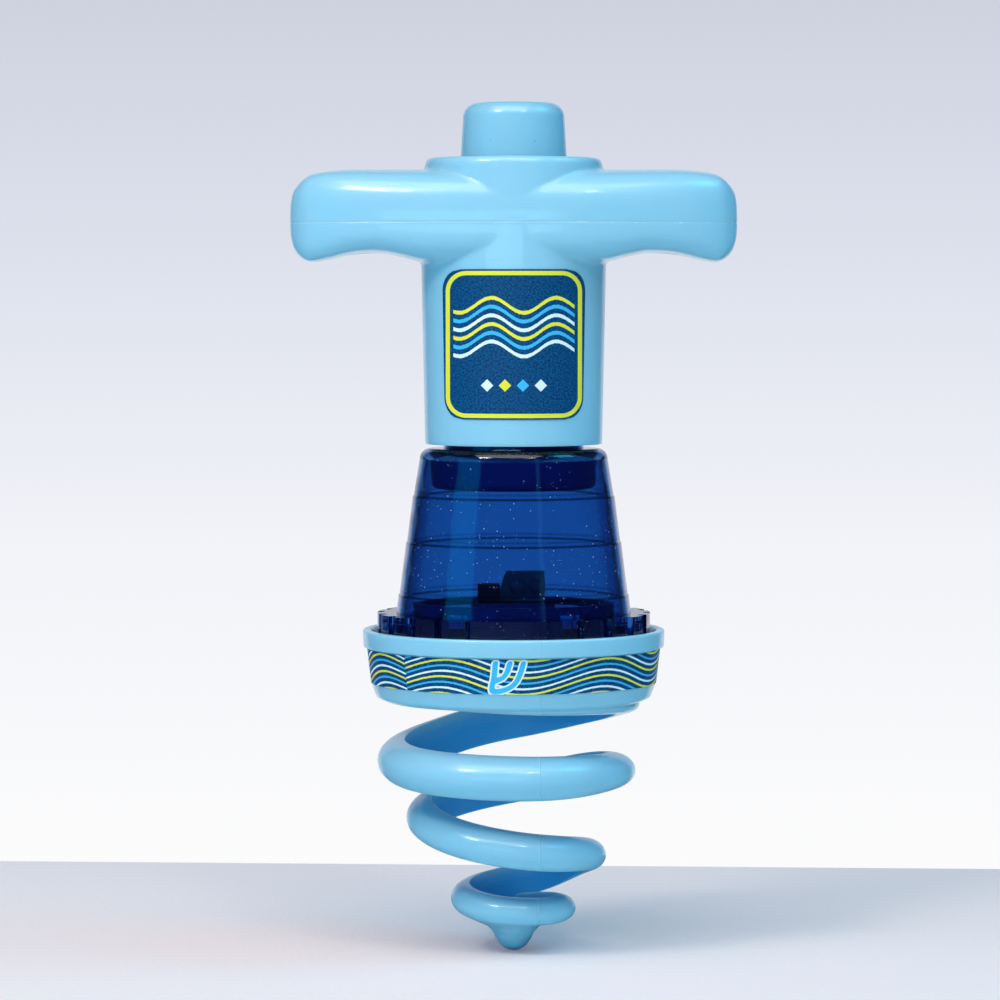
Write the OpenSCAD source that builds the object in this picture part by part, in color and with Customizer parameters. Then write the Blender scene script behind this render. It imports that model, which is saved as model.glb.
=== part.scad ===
// Bouncing dreidel with a T-handled wind-up launcher, in millimetres.
// Origin at the lowest point of the tip, +Z along the spin axis, X along the handle, front at -Y.

/* [Handle] */
// Width of the handle, tip to tip
grip_w = 91.4; // [86:0.2:98]
// Half depth of the handle at its middle
grip_d = 18.4; // [17.6:0.1:18.8]
// Height of the handle above the seam of its shells
grip_up = 10.9; // [10.4:0.1:13]
// Height of the handle below the seam of its shells
grip_down = 8.4; // [7.8:0.1:10]
// Wall of the two handle shells
shell_wall = 2; // [1.6:0.1:2.2]
// Wall of the drum round the bore of the stem, at the seam
drum_wall = 2.7; // [2.4:0.1:3.6]
// Draft of the drum from the seam to the collar, on the radius
collar_draft = 0.9; // [0.4:0.1:1.2]
// Height of the collar above the handle
collar_rise = 2.5; // [1.5:0.1:4]
// Radius on the collar's top edge
collar_round = 1.6; // [0.8:0.1:2]
// Length of the stem below the handle
stem_h = 36.6; // [34:0.2:42]
// Height in the stem above the dreidel's neck, for the drive
works_h = 20.1; // [19.4:0.1:24]
// Draft of the stem over its length, on the radius
stem_draft = 0.8; // [0.4:0.1:1]
// Distance of each handle screw from the axis
screw_x = 30.4; // [28:0.2:32]

/* [Button] */
// Radius of the thumb button at its foot
button_r = 10.85; // [10:0.05:11.2]
// Draft of the thumb button, on the radius
button_draft = 0.5; // [0.2:0.1:0.8]
// Height of the thumb button above the collar
button_rise = 11.2; // [9:0.2:13]
// Radius on the button's top edge
button_round = 3; // [2:0.1:3.5]
// Travel of the thumb button
button_travel = 4; // [3:0.2:4.4]
// Wall of the thumb button
button_wall = 1.6; // [1.2:0.1:2]
// Thickness of the button's stop flange
button_flange = 1.5; // [1:0.1:2]

/* [Drive] */
// Radius of the spindle
spindle_r = 3; // [2.6:0.1:3.2]
// Teeth on the ratchet wheel
ratchet_teeth = 12; // [10:1:14]
// Room round the ratchet wheel for the pawl
ratchet_side = 7; // [6.8:0.1:7.4]
// Depth of the ratchet teeth
ratchet_depth = 1.6; // [1.2:0.1:1.6]
// Thickness of the ratchet wheel
ratchet_h = 2.6; // [2:0.1:2.8]
// Least pitch of the main spring
main_pitch = 2.2; // [2:0.1:3]
// Wire radius of the main spring
main_wire_r = 0.9; // [0.6:0.05:0.9]
// Coil radius of the main spring, to the wire's middle
main_coil_r = 9.5; // [8:0.1:11]
// Turns of the button spring
button_turns = 4.5; // [3:0.5:5]
// Wire radius of the button spring
button_wire_r = 0.45; // [0.3:0.05:0.5]
// Coil radius of the button spring, to the wire's middle
button_coil_r = 5.6; // [5:0.1:6.5]
// Thickness of the bearing plates
plate_h = 2; // [1.6:0.1:2.4]

/* [Dreidel] */
// Height of the ring cup above the spiral
ring_h = 14.7; // [14:0.1:16]
// Wall of the ring cup
ring_wall = 1.7; // [1.2:0.1:1.8]
// Gap between the ring cup and the flange's teeth
ring_gap = 1.3; // [1:0.1:2]
// Height of the rim band above the label
rim_band = 4.5; // [3.5:0.1:5]
// Height of the ring's foot below the printed band
ring_foot = 2.6; // [2:0.1:3.4]
// Depth of the label's seat in the ring
band_seat = 0.9; // [0.5:0.1:1]
// Height of the dome's toothed flange above the ring's rim
flange_rise = 3.4; // [2.8:0.1:5]
// Radial depth of the flange's teeth
tooth_depth = 1.4; // [1:0.1:1.6]
// Height of the flange's teeth
tooth_h = 8; // [6:0.2:9]
// Number of teeth round the flange
tooth_count = 24; // [20:1:26]
// Width of the shoulder from the dome's foot to the roots of the teeth
shoulder_w = 2.5; // [2:0.1:3]
// Draft of the dome from its foot to its roof, on the radius
dome_draft = 4.8; // [4:0.1:5.4]
// Width of the roof from the neck to the dome's top edge
roof_w = 4.95; // [4.4:0.05:5.6]
// Height of the dome above its flange
dome_h = 33.7; // [33:0.2:38]
// Wall of the dome
dome_wall = 1.6; // [1.2:0.1:1.8]
// Radius on the dome's top edge
dome_round = 2.2; // [1.6:0.1:2.6]
// Depth of each fine step round the dome
dome_step = 0.18; // [0.1:0.02:0.3]
// Radius of the neck
neck_r = 14.35; // [13.4:0.05:15.4]
// Width of the drive slots in the neck
slot_w = 3.5; // [3:0.1:4]
// Number of drive slots in the neck
slot_count = 4; // [3:1:4]
// Gap between the drive well and the dome's wall
well_gap = 0.8; // [0.5:0.1:1.2]
// Depth of the drive well
well_h = 6.8; // [6.4:0.1:8]

/* [Bounce spring] */
// Height of the spiral from the floor to the ring
spiral_h = 51.7; // [48:0.2:58]
// Distance of the widest coil inside the ring's rim
spiral_inset = 3; // [2.8:0.1:4]
// Height of the strand on the widest coil
strand_h = 8.7; // [8:0.1:9]
// Radial thickness of the strand on the widest coil
strand_t = 5.8; // [5:0.1:6.2]
// Radius of the tip's nub
tip_r = 3.7; // [3.3:0.1:4]
// Height of the tip's nub
tip_h = 3.4; // [3:0.1:3.8]

/* [Light module] */
// Width of the battery box
box_w = 14.3; // [14:0.1:15]
// Depth of the battery box
box_d = 10.4; // [10:0.1:11]
// Height of the battery box above the tray
box_h = 16.6; // [16:0.1:18]
// Distance of the battery box's middle left of the axis
box_left = 0.8; // [0:0.1:1.2]
// Radius of a button cell
cell_r = 3.95; // [3.4:0.05:4]
// Thickness of a button cell
cell_h = 3.6; // [3:0.1:3.6]
// Number of button cells
cell_count = 3; // [2:1:3]
// Height of the circuit board
board_h = 6.4; // [5:0.1:8]
// Thickness of the circuit board
board_t = 1.2; // [0.8:0.1:1.6]
// Radius of a light-emitting diode
led_r = 1.5; // [1:0.1:1.6]
// Gap between the light tray and the dome's foot
tray_gap = 1.9; // [1.7:0.1:2.4]
// Windows in the tray's crown
window_count = 10; // [8:1:12]

/* [Hidden] */
$fn = 96;

// Clearances: a running or seating fit, a free gap beside a moving piece, and the overrun of a cut
fit_gap = 0.05;
free_gap = 0.3;
over = 1;

// Radii outwards from the neck: the dome and the ring below, the bores and the drum above
dome_top_r = neck_r + roof_w;
dome_r = dome_top_r + dome_draft;
skirt_r = dome_r + shoulder_w;
flange_r = skirt_r + tooth_depth;
ring_r = flange_r + ring_gap + ring_wall;
spiral_r = ring_r - spiral_inset;
neck_gap = 1.85;
neck_bore_r = neck_r + neck_gap;
plate_seat = 1;
stem_bore_r = neck_bore_r - plate_seat;
drum_r = neck_bore_r + drum_wall;

// Levels up the axis
ring_z = spiral_h;
rim_z = ring_z + ring_h;
flange_z = rim_z + flange_rise;
roof_z = flange_z + dome_h;
neck_h = stem_h - works_h;
neck_z = roof_z + neck_h;
stem_gap = 0.9;
stem_z = roof_z + stem_gap;
grip_z = stem_z + stem_h;
seam_z = grip_z + grip_down;
top_z = seam_z + grip_up;
collar_z = top_z + collar_rise;
button_z = collar_z + button_rise;

// Handle: places along the half width, and the height above and below the seam and the half depth there
station_shares = [1, 0.996, 0.985, 0.967, 0.94, 0.9, 0.82, 0.72, 0.6, 0.5, 0.42, 0.3, 0.15, 0];
up_shares = [0.1, 0.4, 0.58, 0.7, 0.82, 0.915, 0.975, 1, 1, 1, 1, 1, 1, 1];
down_shares = [0.1, 0.34, 0.57, 0.74, 0.87, 0.94, 0.87, 0.75, 0.72, 0.82, 0.93, 1, 1, 1];
depth_shares = [0.05, 0.13, 0.22, 0.3, 0.39, 0.47, 0.58, 0.68, 0.775, 0.84, 0.89, 0.95, 0.985, 1];
section_power_share = 3.8;
section_steps = 16;
wire_sides = 6;

// Screws of the handle
head_r = 2.7;
head_h = 1.8;
shank_r = 1.4;
boss_r = 3.3;
recess_wall = 1.3;
screw_floor = 2;
boss_lift = 2.8;
screw_z = seam_z - screw_floor;

// Stem label
label_w = 28.2;
label_lift = 5.4;
label_drop = 1;
label_h = stem_h - label_lift - label_drop;
label_round = 4.4;
label_gap = 0.02;
label_t = 0.16;

// Chuck, in the neck and the well
chuck_flange = 1.5;
chuck_r = neck_r - dome_wall - free_gap;
well_r = dome_top_r - dome_wall - well_gap;
well_z = roof_z - dome_wall - well_h;
well_t = 1.6;
well_round = 1.4;
chuck_z = well_z + well_t + free_gap;
chuck_wall = 2;
chuck_boss = 5.2;
lug_gap = 0.25;
slot_rise = 1.2;
slot_turn = 259;
chuck_web = 1.5;
boss_rise = 7.5;
spindle_z = chuck_z + boss_rise;
screw_h = 8;

// Ledge in the stem's bore, for the bush, and the lip and plate at the seam
ledge_w = 1.8;
ledge_r = stem_bore_r - ledge_w;
ledge_h = 1.2;
ledge_z = neck_z + chuck_flange + free_gap;
bush_z = ledge_z + ledge_h;
shell_lip = 0.9;
plate_z = seam_z - shell_lip - plate_h;

// Ratchet, its clip and the main spring's hub
clip_h = 0.8;
clip_r = 5;
ratchet_room = 2.6;
ratchet_r = stem_bore_r - ratchet_side;
ratchet_z = plate_z - ratchet_room - ratchet_h;
journal_r = spindle_r - clip_h;
root_turn = 0.6;
tooth_turn = 2.5;
hub_h = 2.4;
hub_side = 2.8;
hub_r = stem_bore_r - hub_side;
hub_boss = 5;
pawl_slack = 0.25;
pawl_h = ratchet_h - pawl_slack;
pawl_z = ratchet_z + pawl_slack / 2;
hub_z = pawl_z + pawl_h - button_travel - hub_h;
main_foot = bush_z + plate_h + fit_gap;
main_top = hub_z - free_gap;
main_turns = floor(2 * (main_top - main_foot - 2 * main_wire_r) / main_pitch) / 2;

// Pawl: its pivot, arm and nose, seen from above, with the finger that lifts it
pin_r = 1;
eye_r = 2.1;
pivot_gap = 0.935;
pivot_rise = 0.2;
pivot_y = ratchet_r + pivot_rise;
pivot_x = sqrt(pow(stem_bore_r - eye_r - pivot_gap, 2) - pow(pivot_y, 2));
finger_gap = 0.4;
finger_x = 4.4;
finger_w = 1.8;
finger_t = 0.7;
finger_y = ratchet_r + finger_gap;
pawl_turn = 10;
pawl_lift = (pivot_x + finger_x) * tan(pawl_turn);
arm_y = finger_y + finger_t + free_gap;
arm_t = 1.7;
arm_reach = 5.4;
nose_w = 1.3;
nose_gap = 0.35;
pin_head_r = 1.8;
pin_head_h = 1;
pawl_spring_r = 1.65;
pawl_wire_r = 0.25;

// Button flange, under the drum's roof
stop_z = collar_z - shell_wall - free_gap - button_flange;
stop_r = button_r + button_wall;
web_hole_r = 4.2;

// Dreidel
ring_floor = 2.2;
floor_z = ring_z + ring_floor;
rim_draft = 0.15;
band_draft = 0.85;
band_h = ring_h - rim_band - ring_foot;
band_z = ring_z + ring_foot;
band_top_r = ring_r - rim_draft - band_seat;
band_foot_r = band_top_r - band_draft;
foot_round = 2.9;
foot_drop = 0.9;
tooth_share = 0.66;
step_shares = [0.107, 0.427, 0.709];
tray_h = 1.5;
tray_z = floor_z + tray_h;
tray_head_h = 1.2;
tray_boss_h = 6;
tray_boss_gap = 1.6;
crown_t = 1.3;
tray_r = dome_r - dome_wall - tray_gap;
tray_screw_r = tray_r - crown_t - tray_boss_gap - boss_r;
window_w = 7;
window_h = 8;
window_rise = 7;

// Light module
box_z = tray_z + box_h;
box_wall = 1.2;
cell_z = box_z - box_wall - cell_r;
contact_t = 0.35;
cell_cap = 0.4;
cell_run = cell_count * cell_h + (cell_count + 1) * fit_gap;
run_x = -box_left - (cell_run + 2 * contact_t) / 2;
switch_w = 4.5;
switch_d = 4;
switch_h = 3.9;
switch_gap = 1.7;
switch_cap_r = 1.5;
switch_cap_h = 0.6;
board_w = 10.2;
board_slant = 2.4;
led_h = 3.2;
led_pitch = 3.8;
led_rim = 0.3;

// Spiral from under the ring to the tip, at every quarter turn from the left: outer radius, middle height,
// strand height and strand thickness, as shares of the named sizes
radius_shares = [0.93, 0.94, 0.925, 0.955, 1, 0.965, 0.893, 0.835, 0.788, 0.743, 0.677, 0.575, 0.46, 0.455,
    0.455, 0.33];
height_shares = [1.02, 1.005, 0.985, 0.882, 0.762, 0.732, 0.722, 0.62, 0.53, 0.44, 0.38, 0.242, 0.207,
    0.18, 0.172, 0.162];
strand_shares = [0.12, 0.24, 0.52, 0.96, 1.01, 1.04, 0.85, 0.88, 0.9, 0.88, 0.8, 0.8, 0.72, 0.67, 0.62, 0.5];
thickness_shares = [0.6, 0.7, 0.86, 0.98, 1, 1, 0.98, 0.95, 0.92, 0.88, 0.82, 0.76, 0.68, 0.64, 0.6, 0.56];
quarter_steps = 7;
bulge_share = 0.92;
bulge_points = 10;
// Tip: its web, which laps over the end of the last coil, and the turn that its round end stops short by
web_lap = 0.36;
web_r = radius_shares[len(radius_shares) - 1] * spiral_r + web_lap;
nub_turn = 20;
web_rise = 3.6;
web_t = 0.9;
flare_shares = [[1, 0.76], [1.12, 1.08], [1.46, 1.5]];
quarters = len(radius_shares) - 1;
turn_steps = 4 * quarter_steps;

// Values between a table's entries, on a smooth curve through them
function along(t, u) =
    let(n = len(t) - 1, i = min(floor(u), n - 1), f = u - i,
        a = t[max(i - 1, 0)], b = t[i], c = t[i + 1], d = t[min(i + 2, n)])
    b + f * (c - a) / 2 + f * f * (a - 2.5 * b + 2 * c - d / 2) + f * f * f * (1.5 * (b - c) + (d - a) / 2);

// Faces that join n rings of m points and close both ends
function skin_faces(n, m) = concat(
    [[for (k = [m - 1:-1:0]) k]],
    [for (i = [0:n - 2], k = [0:m - 1]) let(p = i * m + k, q = i * m + (k + 1) % m)
        each [[p, q, q + m], [p, q + m, p + m]]],
    [[for (k = [0:m - 1]) (n - 1) * m + k]]);

module skin(rings) {
    polyhedron(points = [for (r = rings) each r], faces = skin_faces(len(rings), len(rings[0])));
}

// Points on an arc in the plane of a profile
function arc(cx, cy, r, from, to, steps) =
    [for (i = [0:steps]) let(a = from + (to - from) * i / steps) [cx + r * cos(a), cy + r * sin(a)]];

// A round wire coil from low to high, one unbroken tube
module coil(r, wire_r, turns, low, high, steps) {
    n = ceil(turns * steps);
    skin([for (i = [0:n]) let(a = 360 * turns * i / n, z = low + wire_r + (high - low - 2 * wire_r) * i / n)
        [for (k = [0:wire_sides - 1]) let(b = 360 * k / wire_sides)
            [(r + wire_r * cos(b)) * cos(a), (r + wire_r * cos(b)) * sin(a), z + wire_r * sin(b)]]]);
}

module tube(r, hole_r, h) {
    difference() {
        cylinder(r = r, h = h);
        translate([0, 0, -over]) cylinder(r = hole_r, h = h + 2 * over);
    }
}

// A screw, its head below its seat at the origin and its shank above
module screw(shank_h, cap_h) {
    difference() {
        translate([0, 0, -cap_h]) cylinder(r = head_r, h = cap_h);
        for (a = [0, 90]) rotate(a) translate([-head_r / 2, -shank_r / 4, -cap_h - over])
            cube([head_r, shank_r / 2, over + cap_h / 2]);
    }
    cylinder(r = shank_r, h = shank_h);
}

// Half of a handle section above or below the seam, its foot past the seam by foot
function half_section(x, d, h, side, foot) =
    [for (i = [0:section_steps]) let(a = 180 * i / section_steps, c = cos(a), p = 2 / section_power_share)
        [x, -side * sign(c) * d * pow(abs(c), p),
            seam_z + side * (i == 0 || i == section_steps ? -foot : h * pow(sin(a), p))]];

// Half of the handle's body, tip to tip, inset all over
module grip_half(side, inset, foot) {
    heights = side > 0 ? up_shares : down_shares;
    h = (side > 0 ? grip_up : grip_down) - inset;
    last = len(station_shares) - 1;
    skin([for (i = [-last:last]) let(j = last - abs(i))
        half_section(sign(i) * station_shares[j] * (grip_w / 2 - inset), depth_shares[j] * (grip_d - inset),
            heights[j] * h, side, foot)]);
}

module at_screws() {
    for (s = [-1, 1]) translate([s * screw_x, 0, 0]) children();
}

module handle_upper_shell() {
    color("skyblue") difference() {
        union() {
            difference() {
                grip_half(1, 0, 0);
                grip_half(1, shell_wall, over);
            }
            rotate_extrude() polygon(concat([[0, seam_z], [drum_r, seam_z]],
                arc(drum_r - collar_draft - collar_round, collar_z - collar_round, collar_round, 0, 90, 8),
                [[0, collar_z]]));
            translate([0, 0, seam_z - shell_lip]) cylinder(r = neck_bore_r - fit_gap, h = shell_lip + over);
            at_screws() translate([0, 0, seam_z]) cylinder(r = boss_r, h = grip_up - shell_wall / 2);
        }
        translate([0, 0, seam_z - shell_lip - over])
            cylinder(r = stem_bore_r, h = collar_z - shell_wall - seam_z + shell_lip + over);
        translate([0, 0, seam_z]) cylinder(r = button_r + free_gap, h = collar_z);
        at_screws() translate([0, 0, seam_z - over])
            cylinder(r = shank_r + fit_gap, h = grip_up - shell_wall + over);
    }
}

module handle_lower_shell() {
    color("skyblue") difference() {
        union() {
            difference() {
                grip_half(-1, 0, 0);
                grip_half(-1, shell_wall, over);
            }
            rotate_extrude() polygon([[0, stem_z], [drum_r - stem_draft, stem_z], [drum_r, grip_z],
                [drum_r, seam_z], [0, seam_z]]);
            at_screws() translate([0, 0, grip_z + boss_lift])
                cylinder(r = boss_r + recess_wall, h = grip_down - boss_lift);
        }
        translate([0, 0, stem_z - over]) cylinder(r = neck_bore_r, h = ledge_z - stem_z + over);
        translate([0, 0, stem_z]) cylinder(r = ledge_r, h = stem_h);
        translate([0, 0, bush_z]) cylinder(r = stem_bore_r, h = seam_z - bush_z + over);
        translate([0, 0, plate_z]) cylinder(r = neck_bore_r, h = seam_z - plate_z + over);
        at_screws() {
            translate([0, 0, grip_z - over]) cylinder(r = boss_r, h = screw_z - grip_z + over);
            translate([0, 0, grip_z]) cylinder(r = shank_r + fit_gap, h = grip_down + over);
        }
    }
}

module handle_screws() {
    color("silver") at_screws() translate([0, 0, screw_z])
        screw(seam_z - screw_z + grip_up - shell_wall - free_gap, head_h);
}

function stem_r(z) = drum_r - stem_draft * (grip_z - z) / stem_h;

module stem_label() {
    low = stem_z + label_lift;
    high = low + label_h;
    color("midnightblue") intersection() {
        rotate_extrude() polygon([[stem_r(low) + label_gap, low], [stem_r(low) + label_gap + label_t, low],
            [stem_r(high) + label_gap + label_t, high], [stem_r(high) + label_gap, high]]);
        translate([0, 0, (low + high) / 2]) rotate([90, 0, 0]) linear_extrude(height = drum_r + over) {
            square([label_w - 2 * label_round, label_h], center = true);
            square([label_w, label_h - 2 * label_round], center = true);
            for (x = [-1, 1], y = [-1, 1])
                translate([x * (label_w / 2 - label_round), y * (label_h / 2 - label_round)])
                    circle(r = label_round);
        }
    }
}

// Bearing plate across the drum, with a slot for the button's finger
module partition_plate() {
    slot_d = finger_t + pawl_lift + 2 * free_gap;
    color("white") translate([0, 0, plate_z]) difference() {
        cylinder(r = neck_bore_r - fit_gap, h = plate_h);
        translate([0, 0, -over]) cylinder(r = journal_r + fit_gap, h = plate_h + 2 * over);
        translate([pivot_x, pivot_y, -over]) cylinder(r = pin_r + fit_gap, h = plate_h + 2 * over);
        translate([-finger_x - finger_w / 2 - free_gap, finger_y - free_gap, -over])
            cube([finger_w + 2 * free_gap, slot_d, plate_h + 2 * over]);
    }
}

module spindle_bush() {
    color("white") translate([0, 0, bush_z]) tube(stem_bore_r - fit_gap, spindle_r + fit_gap, plate_h);
}

module pawl_pin() {
    low = pawl_z - free_gap - pin_head_h;
    color("silver") translate([pivot_x, pivot_y, low]) {
        cylinder(r = pin_head_r, h = pin_head_h);
        cylinder(r = pin_r, h = plate_z + plate_h - low);
    }
}

// Pawl seen from above: an eye, an arm past the wheel, and a nose in the gap before a tooth
module pawl() {
    nose_y = ratchet_r - ratchet_depth + nose_gap;
    color("gold") translate([0, 0, pawl_z]) difference() {
        linear_extrude(height = pawl_h) {
            translate([pivot_x, pivot_y]) circle(r = eye_r);
            polygon([[pivot_x, pivot_y + eye_r], [pivot_x - eye_r, arm_y + arm_t], [-arm_reach, arm_y + arm_t],
                [-arm_reach, arm_y], [0, arm_y], [0, nose_y], [nose_w, arm_y], [pivot_x - eye_r, arm_y],
                [pivot_x, pivot_y]]);
        }
        translate([pivot_x, pivot_y, -over]) cylinder(r = pin_r + fit_gap, h = pawl_h + 2 * over);
    }
}

module pawl_spring() {
    color("silver") translate([pivot_x, pivot_y, 0])
        coil(pawl_spring_r, pawl_wire_r, 3, pawl_z + pawl_h + fit_gap, plate_z - fit_gap, 12);
}

// Thumb button: a drafted cap, a stop flange that the spring lifts, and the finger that frees the pawl
module push_button() {
    tip_z = pawl_z + pawl_h + free_gap;
    top_r = button_r - button_draft;
    color("skyblue") {
        difference() {
            rotate_extrude() polygon(concat([[0, stop_z], [stop_r, stop_z], [stop_r, stop_z + button_flange],
                [button_r, stop_z + button_flange], [button_r, collar_z]],
                arc(top_r - button_round, button_z - button_round, button_round, 0, 90, 8), [[0, button_z]]));
            translate([0, 0, stop_z - over]) cylinder(r = web_hole_r, h = button_flange + 2 * over);
            translate([0, 0, stop_z + button_flange])
                cylinder(r = top_r - button_wall, h = button_z - button_wall - stop_z - button_flange);
        }
        translate([-finger_x - finger_w / 2, 0, 0]) rotate([90, 0, 90]) linear_extrude(height = finger_w)
            polygon([[finger_y, tip_z], [finger_y + finger_t, tip_z],
                [finger_y + finger_t + pawl_lift, tip_z + button_travel],
                [finger_y + finger_t + pawl_lift, stop_z + button_flange / 2],
                [finger_y, stop_z + button_flange / 2]]);
    }
}

module button_spring() {
    color("silver") coil(button_coil_r, button_wire_r, button_turns, plate_z + plate_h, stop_z, 20);
}

module spindle() {
    color("silver") translate([0, 0, spindle_z]) difference() {
        union() {
            cylinder(r = spindle_r, h = ratchet_z + ratchet_h + clip_h + fit_gap - spindle_z);
            cylinder(r = journal_r, h = plate_z + plate_h - spindle_z);
        }
        translate([0, 0, -over]) cylinder(r = shank_r + fit_gap, h = screw_h + 2 * over);
    }
}

module ratchet_wheel() {
    step = 360 / ratchet_teeth;
    root = ratchet_r - ratchet_depth;
    color("white") translate([0, 0, ratchet_z]) difference() {
        linear_extrude(height = ratchet_h) polygon([for (i = [0:ratchet_teeth - 1])
            let(a = 90 + tooth_turn - i * step, b = a - root_turn)
            each [[ratchet_r * cos(a), ratchet_r * sin(a)], [root * cos(b), root * sin(b)]]]);
        translate([0, 0, -over]) cylinder(r = spindle_r + fit_gap, h = ratchet_h + 2 * over);
    }
}

module spindle_clip() {
    color("silver") translate([0, 0, ratchet_z + ratchet_h + fit_gap]) difference() {
        tube(clip_r, spindle_r + fit_gap, clip_h);
        translate([0, -spindle_r / 2, -over]) cube([clip_r + over, spindle_r, clip_h + 2 * over]);
    }
}

module spring_hub() {
    color("white") translate([0, 0, hub_z]) {
        tube(hub_r, spindle_r + fit_gap, hub_h);
        tube(hub_boss, spindle_r + fit_gap, ratchet_z - hub_z - fit_gap);
    }
}

module main_spring() {
    color("silver") coil(main_coil_r, main_wire_r, main_turns, main_foot, main_top, 24);
}

// Drive chuck: a cup in the neck, with a lug in each slot and a flange on the neck's rim
module drive_chuck() {
    lug_w = slot_w - 2 * lug_gap;
    low = roof_z + slot_rise + free_gap;
    color("royalblue") difference() {
        union() {
            translate([0, 0, chuck_z]) cylinder(r = chuck_r, h = neck_z - chuck_z);
            translate([0, 0, neck_z]) cylinder(r = neck_r, h = chuck_flange);
            for (i = [0:slot_count - 1]) rotate(slot_turn + i * 360 / slot_count)
                translate([chuck_r - chuck_wall, -lug_w / 2, low])
                    cube([neck_r - free_gap - chuck_r + chuck_wall, lug_w, neck_z - low + chuck_flange / 2]);
        }
        translate([0, 0, chuck_z - over]) difference() {
            cylinder(r = chuck_r - chuck_wall, h = neck_z - chuck_wall - chuck_z + over);
            cylinder(r = chuck_boss, h = neck_z);
        }
        translate([0, 0, chuck_z - over])
            cylinder(r = head_r + free_gap, h = spindle_z - chuck_web - chuck_z + over);
        translate([0, 0, chuck_z]) cylinder(r = shank_r + fit_gap, h = neck_z);
        translate([0, 0, spindle_z]) cylinder(r = spindle_r + fit_gap, h = neck_z);
    }
}

module chuck_screw() {
    color("silver") translate([0, 0, spindle_z - chuck_web]) screw(chuck_web + screw_h, head_h);
}

// Radius of the dome's outside at a share of its height, with its fine steps
function dome_radius(s, steps) = dome_r - (dome_draft - len(step_shares) * dome_step) * s - steps * dome_step;

module dome() {
    inner_top = dome_top_r - dome_wall;
    corner = well_gap - fit_gap;
    color("mediumblue", 0.75) difference() {
        union() {
            rotate_extrude() polygon(concat(
                [[skirt_r - dome_wall, floor_z], [skirt_r, floor_z], [skirt_r, flange_z], [dome_r, flange_z]],
                [for (i = [0:len(step_shares) - 1], k = [0, 1])
                    [dome_radius(step_shares[i], i + k), flange_z + step_shares[i] * dome_h]],
                arc(dome_top_r - dome_round, roof_z - dome_round, dome_round, 0, 90, 6),
                [[neck_r, roof_z], [neck_r, neck_z], [neck_r - dome_wall, neck_z],
                    [neck_r - dome_wall, roof_z - dome_wall], [inner_top - corner, roof_z - dome_wall],
                    [inner_top, roof_z - dome_wall - corner],
                    [dome_r - dome_wall, flange_z - dome_wall], [skirt_r - dome_wall, flange_z - dome_wall]]));
            for (i = [0:tooth_count - 1]) rotate(i * 360 / tooth_count)
                rotate_extrude(angle = 360 / tooth_count * tooth_share)
                    translate([skirt_r - dome_wall / 2, flange_z - tooth_h])
                        square([tooth_depth + dome_wall / 2, tooth_h]);
        }
        for (i = [0:slot_count - 1]) rotate(slot_turn + i * 360 / slot_count)
            translate([neck_r - dome_wall - over, -slot_w / 2, roof_z + slot_rise])
                cube([dome_wall + 2 * over, slot_w, neck_h]);
    }
}

// Drive well: a cup under the dome's roof round the chuck's foot
module drive_well() {
    color("midnightblue") rotate_extrude() polygon(concat([[0, well_z]],
        arc(well_r - well_round, well_z + well_round, well_round, -90, 0, 6),
        [[well_r, roof_z - dome_wall], [well_r - well_t, roof_z - dome_wall],
            [well_r - well_t, well_z + well_t], [0, well_z + well_t]]));
}

// Places of the screws that hold the tray
module at_tray_screws() {
    for (a = [60, 180, 300]) rotate(a) translate([tray_screw_r, 0, 0]) children();
}

module ring_cup() {
    color("skyblue") difference() {
        rotate_extrude() polygon([[0, ring_z], [band_foot_r - foot_round, ring_z],
            [band_foot_r - foot_drop, ring_z + foot_drop], [band_foot_r, band_z],
            [band_top_r, rim_z - rim_band], [ring_r - rim_draft, rim_z - rim_band],
            [ring_r, rim_z], [ring_r - ring_wall, rim_z],
            [band_top_r - ring_wall, rim_z - rim_band], [band_foot_r - ring_wall, floor_z], [0, floor_z]]);
        at_tray_screws() {
            translate([0, 0, ring_z - over]) cylinder(r = head_r + free_gap, h = tray_head_h + over);
            translate([0, 0, ring_z - over]) cylinder(r = shank_r + fit_gap, h = ring_floor + 2 * over);
        }
    }
}

module band_label() {
    low = band_z + free_gap;
    high = rim_z - rim_band - free_gap;
    function band_r(z) = band_foot_r + band_draft * (z - band_z) / band_h + label_gap;
    color("midnightblue") rotate_extrude() polygon([[band_r(low), low], [band_r(low) + label_t, low],
        [band_r(high) + label_t, high], [band_r(high), high]]);
}

// Light tray: a floor with three screw bosses, and a crown of windows round the lamps
module light_tray() {
    color("midnightblue") difference() {
        union() {
            translate([0, 0, floor_z]) cylinder(r = tray_r, h = tray_h);
            translate([0, 0, floor_z]) tube(tray_r, tray_r - crown_t, tray_h + box_h);
            at_tray_screws() translate([0, 0, floor_z]) cylinder(r = boss_r, h = tray_h + tray_boss_h);
        }
        for (i = [0:window_count - 1]) rotate((i + 0.5) * 360 / window_count)
            translate([tray_r - crown_t - over, -window_w / 2, tray_z + window_rise])
                cube([crown_t + 2 * over, window_w, window_h]);
        at_tray_screws() translate([0, 0, floor_z - over])
            cylinder(r = shank_r + fit_gap, h = tray_h + tray_boss_h);
    }
}

module tray_screws() {
    color("silver") at_tray_screws() translate([0, 0, ring_z + tray_head_h]) screw(tray_boss_h, tray_head_h);
}

module along_box(x) {
    translate([x, 0, cell_z]) rotate([0, 90, 0]) children();
}

module battery_box() {
    color("midnightblue") difference() {
        translate([-box_left - box_w / 2, -box_d / 2, tray_z]) cube([box_w, box_d, box_h]);
        along_box(run_x - over - box_w)
            cylinder(r = cell_r + fit_gap, h = cell_run + 2 * contact_t + over + box_w);
    }
}

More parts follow.
